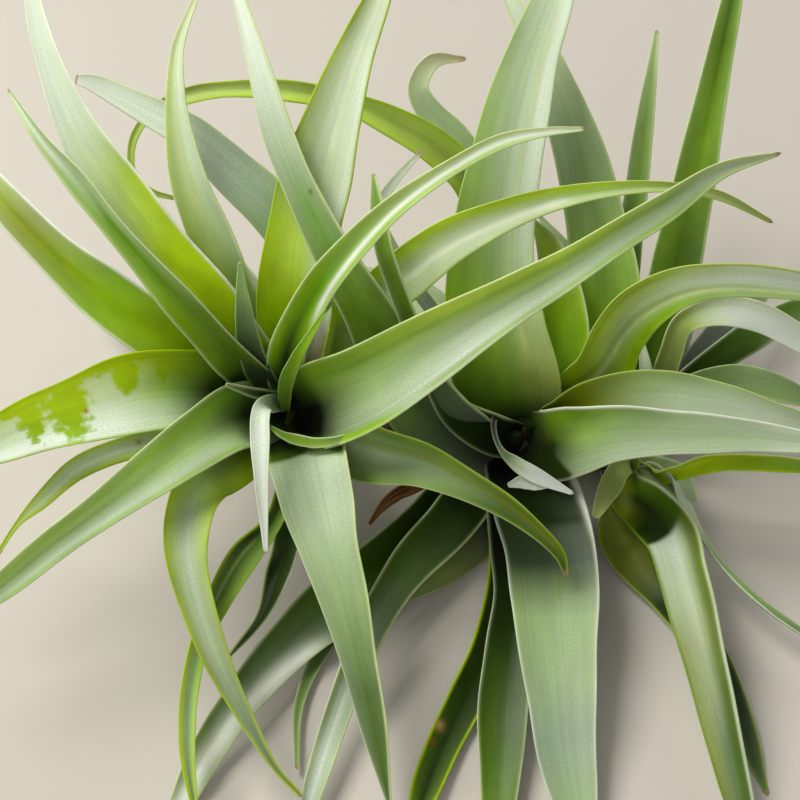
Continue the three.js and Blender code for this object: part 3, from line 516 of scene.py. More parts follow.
leaf("left", 5, "leaf_silver", bend=(110, 34), roll=(0, -14), crease=0.2, rim=("white", 0.3, 0.85),
     stations=[(-36, 3, -56, 10), (-41.1, 7.9, -36, 13.8), (-47.6, 15.6, -14, 16), (-57.5, 28.6, 0, 17.2),
               (-71.6, 45.5, 8, 16.1), (-84.2, 62.3, 11, 15.2), (-95, 78, 11, 12.4),
               (-103.3, 96.1, 9, 8.1), (-109.4, 116, 5, 5.2), (-112.5, 138, -2, 1)],
     flesh="moss glow glow glow lime sage sage sage",
     bloom=[0, 0, 0, (0.15, 0, 0), (0.5, 0.26, 0.05), (0.76, 0.74, 0.6), (0.85, 0.88, 0.74),
            (0.9, 0.9, 0.55)])
leaf("left", 6, "leaf_lime", bend=(110, 40), roll=(6, -12), crease=0.25, rim=("lime", 0.9, 0.9),
     stations=[(-31, 3, -58, 12), (-30.5, 10, -40, 17), (-30.9, 21, -20, 21.9), (-30.5, 36, -8, 23.1),
               (-28.2, 54, -3, 21), (-24.6, 69, 0, 20.8), (-20.4, 83.9, 2, 16.6), (-14.5, 101.9, 2, 11.9),
               (-6.8, 120, 0, 7.4), (0, 136, -4, 1)],
     flesh="moss glow glow glow glow lime lime lime | "
           "moss glow glow glow lime lime lime lime | "
           "moss glow glow lime lime lime lime lime",
     bloom=[0, (0, 0, 0.1), (0, 0, 0.5), (0.05, 0.2, 0.95), (0.3, 0.65, 0.8), (0.35, 0.9, 0.9),
            (0.3, 0.9, 0.75), (0.5, 0.8, 0.7)],
     streaks=[("white", 0.7, 1.2, [(0.55, 0.25), (0.8, 0.2), (1, 0.1)])])
leaf("left", 7, "leaf_silver", bend=(120, 40), roll=(-6, 4), crease=0.25, rim=("lime", 0.7, 1),
     stations=[(-36, -1, -59, 12), (-43, 0.5, -41, 20), (-53.1, 2.6, -20, 23.7), (-65.9, 3.3, -6, 22.4),
               (-80, 1.9, 1, 23.8), (-94.9, -2.6, 4, 19.9), (-109.3, -7.3, 4, 16.5),
               (-124.1, -13.9, 2, 11.7), (-139, -21, -3, 1)],
     flesh="well moss fern vivid vivid vivid vivid lime | "
           "well well moss vivid lime lime vivid lime | "
           "well moss leaf lime glow glow glow lime",
     bloom=[0, 0, (0.15, 0, 0), (0.7, 0.12, 0), (1, 0.66, 0.45), (1, 0.6, 0.5), (1, 0.6, 0.5),
            (0.9, 0.8, 0.6)],
     bare=[(0.757, 0.38, 4, 8.4), (0.676, 0.22, 6.4, 10.8), (0.545, 0.6, 4, 7), (0.468, 0.62, 2.4, 5),
           (0.44, 0.9, 8, 6), (0.56, 1, 12, 3.6), (0.66, 1, 12, 3.6), (0.76, 1, 12, 3.6), (0.85, 1, 8, 2.6)],
     marks=[(0.642, -0.1, 0.7, "rust")])
# Its cupped base is painted dark, as shade deep in the cup.
leaf("left", 8, "leaf_pale", bend=(110, 34), roll=(0, -6), crease=0.15, rim=("pale", 0.8, 0.2),
     stations=[(-31.5, -4, -60, 14), (-30, -8, -44, 20), (-28.5, -13, -24, 23), (-27, -20, -11, 23),
               (-24.5, -31, -5, 21.3), (-21.3, -44, 0, 17.6), (-16.6, -60, 4, 14), (-12.3, -78.1, 7, 10.5),
               (-7.8, -98.1, 11, 7.5), (-3, -122, 15, 1)],
     flesh="leaf leaf leaf leaf leaf fern fern",
     bloom=[0, 0.2, (0.6, 0.55, 0.5), (0.5, 0.48, 0.42), (0.25, 0.25, 0.28), (0.08, 0.04, 0.14),
            (0.05, 0, 0.1)],
     cup=("well well moss fern | well well well moss | well well moss fern", 0.34, 0.27, 0.3),
     streaks=[("leaf", 0.85, 1.3, [(0.02, 0.35), (0.1, 0.3), (0.18, 0.1), (0.3, -0.45)]),
              ("spring", 0.7, 0.5, [(0.2, 0.95), (0.33, 0.9)])])
leaf("left", 9, "leaf_lime", bend=(110, 52), roll=(14, 0), crease=0.35, rim=("lime", 0.8, 0.9),
     stations=[(-34, -4, -61, 10), (-40, -10, -46, 13), (-49.6, -17.8, -24, 15.4), (-58.5, -24, -9, 15.4),
               (-63.1, -33.3, -1, 13.6), (-64.2, -45.9, 3, 12), (-61, -60.8, 5, 9.8), (-54.9, -78, 7, 7.6),
               (-46.7, -94.4, 9, 4.6), (-38, -109.5, 13, 1.9), (-30, -118.5, 15, 1)],
     flesh="moss lime lime lime olive fern moss | "
           "moss olive leaf leaf leaf fern moss | "
           "moss lime lime lime olive fern moss",
     bloom=[0, 0, (0.08, 0.2, 0.02), (0.25, 0.68, 0.18), (0.28, 0.5, 0.22), (0.25, 0.15, 0.3), 0.1])
leaf("left", 10, "leaf_lime", bend=(100, 48), roll=(-10, 12), rim=("pale", 0.5, 0.9),
     stations=[(-34, 3, -63, 10), (-40, 10, -47, 13), (-46, 22, -26, 14), (-51.4, 35, -12, 13),
               (-56.8, 49.1, -5, 12.6), (-62.8, 64, -1, 10.7), (-66.1, 79, 0, 8), (-67.3, 93, 0, 5.1),
               (-66.3, 107, -2, 3.2), (-60, 124, -6, 1)],
     flesh="moss lime lime lime lime olive | "
           "moss lime lime lime lime olive | "
           "moss lime leaf leaf leaf olive",
     bloom=[0, 0.1, (0.15, 0.25, 0.3), (0.25, 0.45, 0.65), (0.3, 0.65, 0.85), (0.4, 0.6, 0.7)])
leaf("left", 11, "leaf_lime", bend=(100, 40), roll=(-10, -10), rim=("white", 0.6, 1),
     stations=[(-36, 2, -64, 10), (-43, 5, -50, 14), (-52, 9, -32, 17), (-63, 15, -15, 17),
               (-76.7, 22.6, -5, 17.4), (-90.8, 33, 0, 15.7), (-105.4, 45.6, 2, 12),
               (-120.2, 61.5, 0, 9.3), (-129, 76, -4, 1)],
     flesh="moss vivid lime vivid olive lime",
     bloom=[0, 0, (0.02, 0, 0.02), (0.04, 0, 0.03), (0.12, 0, 0.2), (0.3, 0.1, 0.4)])
leaf("left", 12, "leaf_vivid", bend=(100, 60), roll=(-12, 6), crease=0.6, rim=("lime", 0.5, 0.6), dry=2,
     stations=[(-31, 2, -65, 8), (-27.5, 8, -52, 11), (-21, 16.6, -33, 13), (-10.5, 27, -17, 13.4),
               (1.5, 37.6, -6, 14.5), (15, 47.8, 1, 13.1), (31, 55.2, 5, 9.2), (47, 60.4, 6, 6.4),
               (63, 63.2, 5, 4.2), (80, 63.9, 1, 2.8), (96, 61.2, -6, 2.6), (111, 53.7, -14, 1)],
     flesh="moss glow glow glow glow lime olive | "
           "moss olive lime lime vivid lime olive | "
           "moss olive lime lime lime lime olive",
     bloom=[0, 0, (0.05, 0.5, 0.5), (0.05, 0.75, 0.7), (0.05, 0.15, 0.6), (0.2, 0.2, 0.5), (0.2, 0.3, 0.1)],
     streaks=[("white", 0.8, 1.4, [(0.27, 0.1), (0.45, 0.25), (0.7, 0.5)])])
leaf("left", 13, "leaf_pale", bend=(100, 50), roll=(-14, 10), crease=0.4, rim=("lime", 0.7, 0.4), dry=3,
     stations=[(-30, -3, -66, 12), (-26, -7, -52, 16), (-19, -12, -34, 17), (-7.1, -16.3, -19, 17),
               (6, -19.2, -11, 13), (18.8, -24.9, -8, 9.3), (31, -31.6, -8, 6.6), (41.2, -39.3, -10, 4.4),
               (47.8, -46.2, -13, 3), (50, -52.8, -16, 1)],
     flesh="moss leaf leaf leaf fern fern fern",
     bloom=[0, (0.05, 0.12, 0.15), (0.08, 0.42, 0.14), (0.04, 0.26, 0.16), (0.02, 0.05, 0.03),
            (0, 0.08, 0), 0],
     streaks=[("olive", 0.6, 1.1, [(0.2, -0.35), (0.5, -0.4), (0.95, -0.2)])])
leaf("left", 14, "leaf_pale", bend=(90, 36), roll=(0, 6), crease=0.2, rim=("pale", 0.3, 0.5),
     stations=[(-33, 4, -68, 9), (-31, 15, -55, 11), (-29.5, 29, -38, 12), (-30.5, 44, -27, 13),
               (-38.4, 57.2, -20, 14.4), (-49.6, 67.9, -16, 13.5), (-63.3, 80, -13, 10.5),
               (-80, 89.1, -13, 7.4), (-91.4, 94.8, -14, 4.7), (-97.2, 96.2, -15, 2.4)],
     flesh="moss fern spring sea sage white",
     bloom=[0.1, 0.2, (0.4, 0.4, 0.35), (0.55, 0.6, 0.5), (0.95, 1, 0.9), 1])
leaf("left", 15, "leaf_vivid", bend=(70, 60), roll=(20, 10), crease=0.9, rim=("lime", 0.6, 0.9),
     stations=[(-32.5, -5, -69, 5), (-33, -14, -54, 6), (-34, -25, -32, 6), (-38.6, -37, -17, 5.4),
               (-47.2, -47.1, -11, 9), (-54.1, -59, -7, 7.4), (-60.2, -73, -3, 5.3), (-63.5, -90, 2, 4.8),
               (-63.7, -107, 9, 4.1), (-61, -126, 16, 1)],
     flesh="moss leaf leaf vivid vivid lime | moss moss fern fern fern fern | moss fern moss leaf lime lime",
     bloom=[0, (0.05, 0, 0.05), (0.1, 0, 0), (0.05, 0.05, 0.1), (0.2, 0.2, 0.15), (0.15, 0.1, 0.1)],
     streaks=[("sage", 0.8, 0.6, [(0.35, 0.1), (0.6, 0.2), (0.95, 0.2)])])
leaf("left", 16, "leaf_deep", bend=(80, 60), roll=(-30, -30), crease=0.9, rim=("pale", 0.2, 1),
     stations=[(-30.5, -5, -70, 6), (-29.5, -15, -58, 8), (-31, -27, -42, 9), (-33, -40, -27, 9),
               (-36.2, -52, -19, 8.5), (-41.5, -65, -15, 4), (-51.3, -76.8, -13, 1)],
     flesh="well moss moss moss",
     bloom=[0, 0, 0])
leaf("left", 17, "leaf_lime", bend=(80, 60), roll=(10, -10), crease=0.6, rim=("lime", 0.9, 0.9), dry=8,
     stations=[(-36, -2, -71, 7), (-45, -5, -60, 9), (-57, -8.6, -42, 9), (-70, -12.2, -23, 8.4),
               (-84.2, -15.1, -12, 6.7), (-97.3, -21, -7, 6.2), (-107.7, -30.4, -6, 4.3),
               (-115.2, -37.8, -7, 1.4), (-123, -50, -8, 1)],
     flesh="moss lime lime lime lime olive | "
           "moss leaf leaf leaf lime olive | "
           "moss lime lime lime lime olive",
     bloom=[0.1, (0.2, 0.4, 0.2), (0.2, 0.7, 0.3), (0.15, 0.7, 0.3), (0.15, 0.4, 0.2), (0.1, 0.2, 0.1)],
     marks=[(0.53, 0.3, 1, "tan")])
back_leaf("left", 18,
          [(-33.4, 3.4, -75, 9), (-38, 15, -78, 11.4), (-43, 25, -85, 12), (-48, 34, -95, 11),
           (-53, 41, -107, 8), (-57, 45.6, -118, 1)])
back_leaf("left", 19,
          [(-35.6, 0, -75, 9), (-48, 6, -74, 11.4), (-60, 13, -77, 12), (-72, 21, -83, 11.4),
           (-84, 29, -91, 8.6), (-96, 36.6, -101, 1)])

# ---- middle rosette ----
# It faces lower and opens narrower than the left one. Its back leaves stand up behind it, and one of
# them curls right round at its tip.

leaf("middle", 1, "leaf_grey", bend=(130, 30), roll=(0, 10), crease=0.2, rim=("pale", 0.3, 0.9),
     stations=[(29.5, -16, -62, 13), (21, -14, -47, 19), (11, -6.6, -30, 22), (0.5, 7.3, -14, 20.5),
               (-8.5, 24.5, -2, 15), (-20.3, 44.5, 5, 11.3), (-29.6, 62.8, 8, 9.4), (-35.8, 77.8, 9, 8.9),
               (-41.2, 95.8, 8, 7.2), (-47.8, 118.9, 4, 3.6), (-52.5, 135, 0, 1)],
     flesh="moss fern leaf leaf leaf leaf sage sage | "
           "moss moss fern leaf spring leaf sage sage | "
           "moss moss fern leaf leaf leaf sage sage",
     bloom=[(0.15, 0.05, 0.1), (0.2, 0.1, 0.15), (0.05, 0, 0.1), (0, 0, 0.02), (0.2, 0.12, 0.25), 0.6,
            (0.85, 0.95, 0.8), 1],
     marks=[(0.62, 0.5, 0.7, "moss")])
leaf("middle", 2, "leaf_deep", bend=(100, 50), crease=0.4, rim=("pale", 0.3, 0.8),
     stations=[(34, -12, -60, 10), (27, -10, -46, 12), (17, -4, -32, 9.6), (10, 7, -17, 6.6),
               (4.6, 19, -3, 5.2), (-0.4, 32, 4, 5), (-4.5, 43.8, 7, 4.9), (-6.6, 55.9, 8, 4.3),
               (-8, 67.5, 6, 1)],
     flesh="well moss fern leaf leaf",
     bloom=[0, 0, (0.05, 0, 0), (0.05, 0, 0), (0.2, 0.05, 0.1)])
leaf("middle", 3, "leaf_green", bend=(130, 34), roll=(0, 8), rim=("lime", 0.4, 0.3),
     stations=[(34.5, -6, -62, 20), (33, 0, -55, 28), (31, 9, -50, 31.5), (28.5, 22, -47, 29),
               (27.2, 36, -45, 26.4), (28.3, 52, -43, 23.5), (31.1, 68, -42, 21.7), (34.8, 85, -41, 19.5),
               (39.4, 102, -42, 15.6), (46, 120, -45, 11.5), (52.5, 138, -50, 1)],
     flesh="moss fern vivid vivid vivid leaf sage | "
           "moss leaf vivid leaf leaf leaf sage | "
           "moss olive lime leaf leaf leaf sage",
     bloom=[0, (0, 0, 0.1), (0, 0.05, 0.4), (0.12, 0.25, 0.65), (0.25, 0.45, 0.85), (0.4, 0.5, 0.72),
            (0.6, 0.6, 0.7)],
     streaks=[("pale", 0.6, 0.9, [(0.2, 0.5), (0.5, 0.45), (0.9, 0.4)])])
# Its cupped base is painted dark, as shade in the cup.
leaf("middle", 4, "leaf_pale", bend=(120, 40), roll=(4, 12), rim=("white", 0.9, 0.2),
     stations=[(39, -12, -62, 14), (45, -13.6, -44, 20.3), (53.1, -12.3, -30, 20.5),
               (65, -10.1, -21, 16.2), (79, -9.8, -17, 13.4), (93, -10.2, -15, 11.4), (107, -11, -15, 8.8),
               (121, -12.6, -16, 6.2), (136, -15, -18, 1)],
     flesh="well vivid leaf leaf leaf leaf leaf leaf | "
           "well moss vivid leaf leaf leaf leaf leaf | "
           "well well leaf leaf leaf leaf sage sage",
     bloom=[0, (0, 0, 0.1), (0, 0.18, 0.38), (0.15, 0.3, 0.5), (0.36, 0.36, 0.48), (0.5, 0.42, 0.52),
            (0.65, 0.55, 0.6), 0.6],
     cup=("moss fern | well moss | well moss", 0.02, 0.115, 0.235))
leaf("middle", 5, "leaf_vivid", bend=(90, 44), rim=("pale", 0.4, 0.8),
     stations=[(42, -6, -66, 12), (47.6, -1, -57, 14), (49.4, 10, -56, 14), (49.4, 22, -55, 13.6),
               (48, 34, -54, 11.6), (44.6, 46, -53, 7), (40, 54, -54, 1)],
     flesh="moss vivid vivid lime lime",
     bloom=[0, 0, 0, (0.05, 0, 0.1), (0.2, 0.1, 0.2)])
leaf("middle", 6, "leaf_grey", bend=(110, 36), roll=(-6, 6), crease=0.2, rim=("lime", 0.5, 0.3),
     stations=[(43, -10, -68, 12), (50, -7, -55, 16), (58, -2.6, -44, 16.6), (70, 0.6, -34, 16),
               (84, 0.6, -28, 14.5), (97.9, -1.5, -26, 11.6), (111.7, -5, -26, 8.3), (125.8, -9.1, -28, 6),
               (139, -13.5, -31, 1)],
     flesh="moss olive leaf sage sage",
     bloom=[0, (0, 0, 0.1), (0.25, 0.5, 0.6), (0.4, 0.66, 0.6), (0.3, 0.42, 0.45)])
# Its dark base is painted shade, and its green streak a painted shadow cast by a curled leaf tip.
leaf("middle", 7, "leaf_grey", bend=(110, 34), roll=(0, 6), crease=0.15, rim=("white", 0.6, 0.35),
     stations=[(36, -15, -68, 18), (38, -22, -55, 23.9), (41.3, -31.9, -40, 26.3),
               (44.6, -43.9, -30, 26.9), (46.2, -58, -21, 25.9), (47, -73, -13, 23.7),
               (48.4, -89, -6, 20.1), (49.8, -106.1, 0, 17.5), (53.2, -124, 7, 11.6), (57, -143, 13, 1)],
     flesh="well well moss moss leaf leaf sea leaf leaf",
     bloom=[0, 0, (0.02, 0, 0), (0.12, 0.06, 0.02), (0.34, 0.32, 0.24), (0.38, 0.38, 0.3),
            (0.4, 0.38, 0.3), (0.38, 0.36, 0.3), (0.36, 0.36, 0.3)],
     streaks=[("white", 0.8, 1.1, [(0, -0.93), (0.2, -0.93), (0.36, -1)]),
              ("leaf", 0.5, 1.4, [(0.36, -0.4), (0.44, -0.1), (0.5, 0.2)])])
# Its fern streak is a painted shadow line beside its pale fold line.
leaf("middle", 8, "leaf_lime", bend=(110, 50), roll=(-10, -24), rim=("lime", 0.7, 0.4),
     stations=[(42, -5, -71, 12), (50.8, -0.6, -60, 17.1), (59.6, 8.1, -50, 18.1), (64.8, 18.9, -42, 16.2),
               (72, 27.6, -35, 15.3), (83.7, 34, -30, 12.1), (98, 36.1, -28, 10.2),
               (113.7, 35.3, -28, 9.1), (129.9, 32.3, -30, 7), (145, 27, -33, 1)],
     flesh="moss lime glow glow glow lime lime | "
           "moss lime lime lime lime leaf leaf | "
           "moss lime vivid vivid vivid vivid vivid",
     bloom=[0, 0, (0.06, 0.28, 0), (0.18, 0.5, 0.02), (0.62, 0.9, 0.28), (0.9, 1, 0.38), (0.85, 0.95, 0.34)],
     streaks=[("lime", 0.6, 1, [(0.1, -0.85), (0.3, -0.8), (0.6, -0.75)]),
              ("fern", 0.35, 0.8, [(0.12, -0.5), (0.3, 0), (0.55, 0.3), (0.8, 0.45)]),
              ("pale", 1, 0.6, [(0.08, -0.3), (0.3, 0.2), (0.55, 0.5), (1, 0.7)])])
leaf("middle", 9, "leaf_grey", bend=(90, 44), roll=(0, 8), crease=0.25, rim=("pale", 0.8, 0.7),
     stations=[(44, -5, -74, 14), (53, 3, -70, 20), (60, 18, -66, 21.6), (61, 36, -63, 21),
               (58.5, 54.1, -62, 17.1), (53.8, 74, -60, 15.2), (47.1, 92.9, -60, 11.3),
               (40, 109, -62, 8.3), (29, 127, -65, 1)],
     flesh="moss vivid vivid leaf sage sage | "
           "moss vivid leaf leaf sage sage | "
           "moss vivid vivid leaf sage sage",
     bloom=[0, 0, (0.08, 0.04, 0.12), (0.32, 0.2, 0.28), (0.4, 0.3, 0.38), (0.75, 0.85, 0.55)])
leaf("middle", 10, "leaf_green", bend=(90, 44), roll=(0, -10),
     stations=[(33, -16, -73, 12), (32.3, -28.2, -60, 12.6), (33.8, -42, -46, 13.4),
               (35.1, -57.9, -35, 13.5), (33, -74, -24, 14), (31, -91, -13, 14.6), (30.4, -108, -4, 12.6),
               (29.4, -124, 4, 9), (28, -141, 11, 1)],
     flesh="well well moss fern leaf",
     bloom=[0, 0, (0.12, 0, 0), (0.05, 0.04, 0), (0, 0.04, 0)])
leaf("middle", 11, "leaf_deep", bend=(90, 50), roll=(16, 10), crease=0.4, rim=("pale", 0.7, 0.5),
     stations=[(30, -15, -74, 12), (23, -25, -58, 15), (14, -37, -44, 15.4), (2.5, -49.5, -32, 12.8),
               (-7.5, -65.5, -22, 10), (-14.6, -82.7, -13, 8.5), (-20.8, -99.8, -5, 7.3),
               (-26.2, -116.9, 4, 5.9), (-30.6, -134, 13, 1)],
     flesh="moss moss fern fern leaf leaf",
     bloom=[0, 0, (0.05, 0.05, 0), (0.25, 0.4, 0.1), (0.5, 1, 0.5), (0.5, 1, 0.5)])
leaf("middle", 12, "leaf_grey", bend=(60, 44), crease=0.2, dry=3,
     stations=[(37, -1, -75, 8), (35, 16, -70, 10), (32, 36, -67, 10), (28.6, 54, -65, 9),
               (24, 68, -64, 8), (16.5, 79.1, -62, 7.8), (8.8, 86.5, -60, 7.2), (5.4, 94, -58, 5.6),
               (10, 101.6, -58, 4.2), (19.4, 102.4, -60, 1)],
     flesh="moss leaf leaf sage straw",
     bloom=[0.05, 0.12, (0.3, 0.3, 0.25), 0.3, 0.1])
leaf("middle", 13, "leaf_lime", bend=(70, 64), roll=(-8, 0), crease=0.8, rim=("lime", 0.8, 0.8), steps=220,
     stations=[(35, -1, -77, 8), (31, 16, -73, 10), (28, 34, -68, 11), (25.6, 50, -62, 11),
               (21, 64.8, -56, 10), (10.6, 75.6, -51, 10.3), (-3.1, 83.6, -46, 8.8), (-17, 89.4, -41, 5.8),
               (-34, 92.7, -36, 6), (-51, 93.2, -33, 4.5), (-64, 91.1, -32, 4.5), (-74, 86.6, -32, 2.6),
               (-79.9, 78.3, -32, 2.1), (-80.2, 68.6, -33, 1.6), (-75, 62.8, -34, 1.6), (-68, 60.6, -35, 1)],
     flesh="olive lime lime glow glow lime lime olive | "
           "olive lime olive lime lime lime lime olive | "
           "olive lime lime lime olive olive lime olive",
     bloom=[0, 0.1, (0.2, 0.25, 0.15), 0.25])
# Its broad white band is a painted highlight, the sheen along the leaf.
leaf("middle", 14, "leaf_deep", bend=(90, 44), roll=(10, 10), crease=0.5, rim=("pale", 0.4, 0.6),
     stations=[(29.5, -13, -76, 12), (20, -23, -64, 15), (7.7, -36.9, -51, 15.1), (-7.2, -50.2, -40, 16.4),
               (-21, -61.4, -31, 17.5), (-34.6, -74.4, -22, 14.6), (-47, -88.8, -12, 11.4),
               (-57.5, -104.4, -5, 10.1), (-65.4, -120.3, 2, 6.9), (-72, -135, 7, 1)],
     flesh="moss moss fern fern leaf leaf",
     bloom=[0, 0, (0.1, 0, 0), (0.3, 0.15, 0.05), (0.3, 0.4, 0.1), (0.3, 0.4, 0.2)],
     streaks=[("white", 1, 3.2, [(0.46, -0.9), (0.6, -0.65), (0.75, -0.35), (0.9, 0), (1.1, 0.1)])])
leaf("middle", 15, "leaf_deep", bend=(80, 70), roll=(14, -12), crease=0.9, rim=("lime", 1, 1),
     stations=[(30, -17, -75, 9), (31, -31, -63, 11), (32.4, -45, -52, 11.6), (30.9, -60, -42, 11.4),
               (26.4, -75.2, -31, 10.7), (19.5, -90.2, -20, 10.5), (12.5, -104.6, -9.6, 9.7),
               (6.6, -120, 2, 7.4), (2.6, -135, 12, 1)],
     flesh="well moss moss moss fern leaf | well well moss moss moss moss | well moss moss moss fern leaf",
     bloom=[0, 0, 0, (0.02, 0, 0), (0.03, 0, 0)],
     marks=[(0.72, 0.75, 1.6, "tan"), (0.76, 0.7, 0.9, "rust")])
leaf("middle", 16, "leaf_grey", bend=(60, 44), crease=0.2,
     stations=[(41, -4, -77, 6), (51, 5, -76, 8), (57.6, 17, -75, 8), (57, 31, -74, 7.4), (51, 43, -73, 5),
               (42, 55, -72, 1)],
     flesh="moss sea sage",
     bloom=[0.1, 0.4, 0.5])
leaf("middle", 17, "leaf_deep", bend=(80, 44), roll=(20, 10), rim=("lime", 0.3, 0.3),
     stations=[(32, -17, -75, 10), (29, -29, -66, 13), (23.6, -39, -57, 14), (14.9, -47.8, -48, 12.4),
               (5.6, -55, -41, 7.6), (-4, -62, -34, 1)],
     flesh="moss moss olive leaf",
     bloom=[0.05, (0.1, 0.05, 0.05), (0.15, 0.1, 0.1), (0.2, 0.1, 0.1)])
leaf("middle", 18, "leaf_deep", bend=(60, 50), crease=0.4,
     stations=[(31, -15, -80, 5), (16, -32, -66, 6), (0, -49, -52, 6), (-14, -63, -40, 5.2),
               (-24, -76, -30, 4.1), (-30.4, -91.9, -18, 2.4), (-31, -110, -5, 1)],
     flesh="moss moss fern leaf",
     bloom=[0, 0.02, 0.1])
back_leaf("middle", 19,
          [(34.6, -6, -80, 12), (32, 10, -84, 16), (29.6, 20, -90, 18), (28.4, 30, -98, 17.4),
           (28, 38, -107, 14), (28, 43.6, -116, 9), (28, 47, -124, 1)])
leaf("middle", 20, "leaf_grey", bend=(70, 44), crease=0.2,
     stations=[(31.4, -7, -80, 8), (24, 11, -82, 9.6), (14.6, 24, -86, 9.6), (3.2, 32.5, -92, 9.5),
               (-10, 37, -99, 6), (-22, 40, -106, 1)],
     flesh="moss leaf sage",
     bloom=[0.2, 0.4, 0.7])
leaf("middle", 21, "leaf_grey", bend=(60, 50), crease=0.2, dry=3,
     stations=[(32, -3, -67, 4), (20, 14, -46, 4), (6, 32, -24, 3.6), (-3, 47, -12, 3),
               (-6.4, 56, -9, 2.6), (-4, 62.3, -9, 2.4), (0.7, 68.4, -10, 1.8), (6.6, 74.6, -12, 1)],
     flesh="moss sea sage",
     bloom=[0.2, 0.7, 0.9, 0.8])

# ---- right rosette ----
# The smallest of the three, on the crown at the stem's right end. Its front leaf folds down over a
# cup painted dark with shade, and its others arch away.

leaf("right", 1, "leaf_silver", bend=(140, 40), roll=(-6, -14), crease=0.25, rim=("leaf", 0.3, 0.9),
     stations=[(65.1, -21.2, -62, 8.5), (68, -27.2, -55, 11.1), (74.6, -32.7, -46, 15.1),
               (81.4, -40.6, -36, 15.5), (84.8, -51.9, -27, 14.4), (88.5, -66.1, -17, 13.6),
               (92.8, -83, -9, 11.9), (97.1, -101.1, -1, 10.5), (102.2, -121.1, 6, 8.1), (110, -146, 14, 1)],
     flesh="olive olive olive olive fern fern | "
           "leaf white sage olive fern fern | "
           "leaf white sage olive olive fern",
     bloom=[0, (0, 0.65, 0.7), (0, 0.62, 0.5), (0.02, 0.42, 0.22), (0.03, 0.16, 0.14), (0.08, 0.1, 0.1)],
     cup=("olive olive leaf fern fern | moss olive moss moss moss | moss moss olive moss moss", 0.3, 0.33,
          0.345),
     streaks=[("fern", 0.7, 2, [(0.2, -0.62), (0.6, -0.66), (1, -0.5)]),
              ("white", 0.7, 0.5, [(-0.1, -0.97), (0.3, -0.97), (0.6, -0.97), (1, -0.95)])])
# Its arch is painted white on top: scales with a painted highlight where it faces the light.
leaf("right", 2, "leaf_silver", bend=(90, 44), roll=(0, -16), crease=0.2, rim=("pale", 0.4, 0.4),
     stations=[(71, -13, -68, 8), (76.9, 0.9, -61, 7.2), (80.9, 13.1, -53, 6.6), (85.2, 23.1, -47, 6.4),
               (96, 26.7, -44, 8.1), (108, 24.8, -44, 8.6), (120, 18.4, -46, 7), (130, 11.4, -48, 4.6),
               (138, 5, -51, 1)],
     flesh="moss olive olive sage white white | "
           "moss olive lime white white white | "
           "moss olive lime white white white",
     bloom=[0.1, 0.1, (0.1, 0.2, 0.2), (0.9, 1, 0.9), (0.7, 1, 1), (0.5, 0.9, 1)])
leaf("right", 3, "leaf_green", bend=(90, 44), roll=(0, -8), crease=0.5, rim=("pale", 0.5, 0.4),
     stations=[(69.6, -13, -70, 10), (74, 3, -67, 13), (78.6, 21, -65, 14.6), (82.7, 41, -63, 14.4),
               (87.3, 61.4, -62, 12.7), (91, 80.1, -62, 10.5), (95.1, 99.7, -64, 8.1),
               (99.4, 119.7, -67, 6.2), (103.5, 137, -71, 1)],
     flesh="moss fern leaf leaf leaf leaf | moss fern fern leaf fern fern | moss fern fern leaf leaf leaf",
     bloom=[0, 0, (0.02, 0, 0.02), (0.04, 0, 0.02), (0.05, 0, 0.04), (0.08, 0.05, 0.08)])
leaf("right", 4, "leaf_green", bend=(80, 44), rim=("pale", 0.3, 0.4),
     stations=[(72, -15, -70, 8), (81, -3, -61, 10), (91, 3.6, -53, 10), (103, 6, -49, 8.6),
               (116, 2.6, -48, 6.8), (129, -3, -50, 1)],
     flesh="moss leaf leaf fern | moss fern leaf leaf | moss fern leaf leaf",
     bloom=[0, (0.1, 0.05, 0.1), (0.25, 0.2, 0.2), 0.2])
leaf("right", 5, "leaf_lime", bend=(80, 60), roll=(-48, -40), crease=0.4, rim=("glow", 0.5, 0.9),
     stations=[(71, -20, -68, 8), (77.6, -22.3, -57, 6.6), (83, -21.5, -46, 6.6), (93.2, -18.6, -39, 6.9),
               (107, -18.4, -36, 6.2), (121.1, -19.7, -36, 5.2), (136, -23, -39, 1)],
     flesh="moss glow glow lime vivid vivid",
     bloom=[0, 0, 0, 0.1])
leaf("right", 6, "leaf_grey", bend=(60, 44), roll=(10, 0), crease=0.4, rim=("pale", 0.4, 0.4),
     stations=[(67.6, -13, -73, 6), (66.8, 6, -73, 8), (66.6, 24, -74, 8), (68.1, 42, -73, 7.7),
               (70.6, 60, -72, 6.4), (72.6, 77.1, -73, 5.6), (74.9, 94.1, -75, 3.6), (77, 110.4, -77, 1)],
     flesh="moss fern leaf leaf sage",
     bloom=[0, 0.05, (0.18, 0.05, 0.12), (0.2, 0.12, 0.2)])
leaf("right", 7, "leaf_deep", bend=(80, 44), roll=(0, 20),
     stations=[(72.6, -14, -73, 7), (84.1, 1.9, -67, 8.8), (95.4, 12.1, -60, 8.3), (107, 20, -55, 9.1),
               (119, 26.6, -53, 7), (130, 32, -53, 1)],
     flesh="moss moss fern fern",
     bloom=[0, 0, 0, 0.05])
leaf("right", 8, "leaf_silver", bend=(70, 44), roll=(66, 70), rim=("white", 0.2, 0.2),
     stations=[(71.6, -19, -71, 6), (78, -20, -62, 10), (82.6, -24.5, -55, 13), (85, -31, -49, 8.4),
               (89.6, -39.2, -43, 4.8), (94.8, -47, -38, 4.2), (100, -53.2, -34, 4.6),
               (107.5, -60.2, -29, 5), (117, -67.3, -25, 4.6), (128, -74.4, -22, 3.8), (140, -81, -19, 1)],
     flesh="white sage leaf moss",
     bloom=[0.6, 0.35, (0.1, 0.1, 0.08), 0.1])
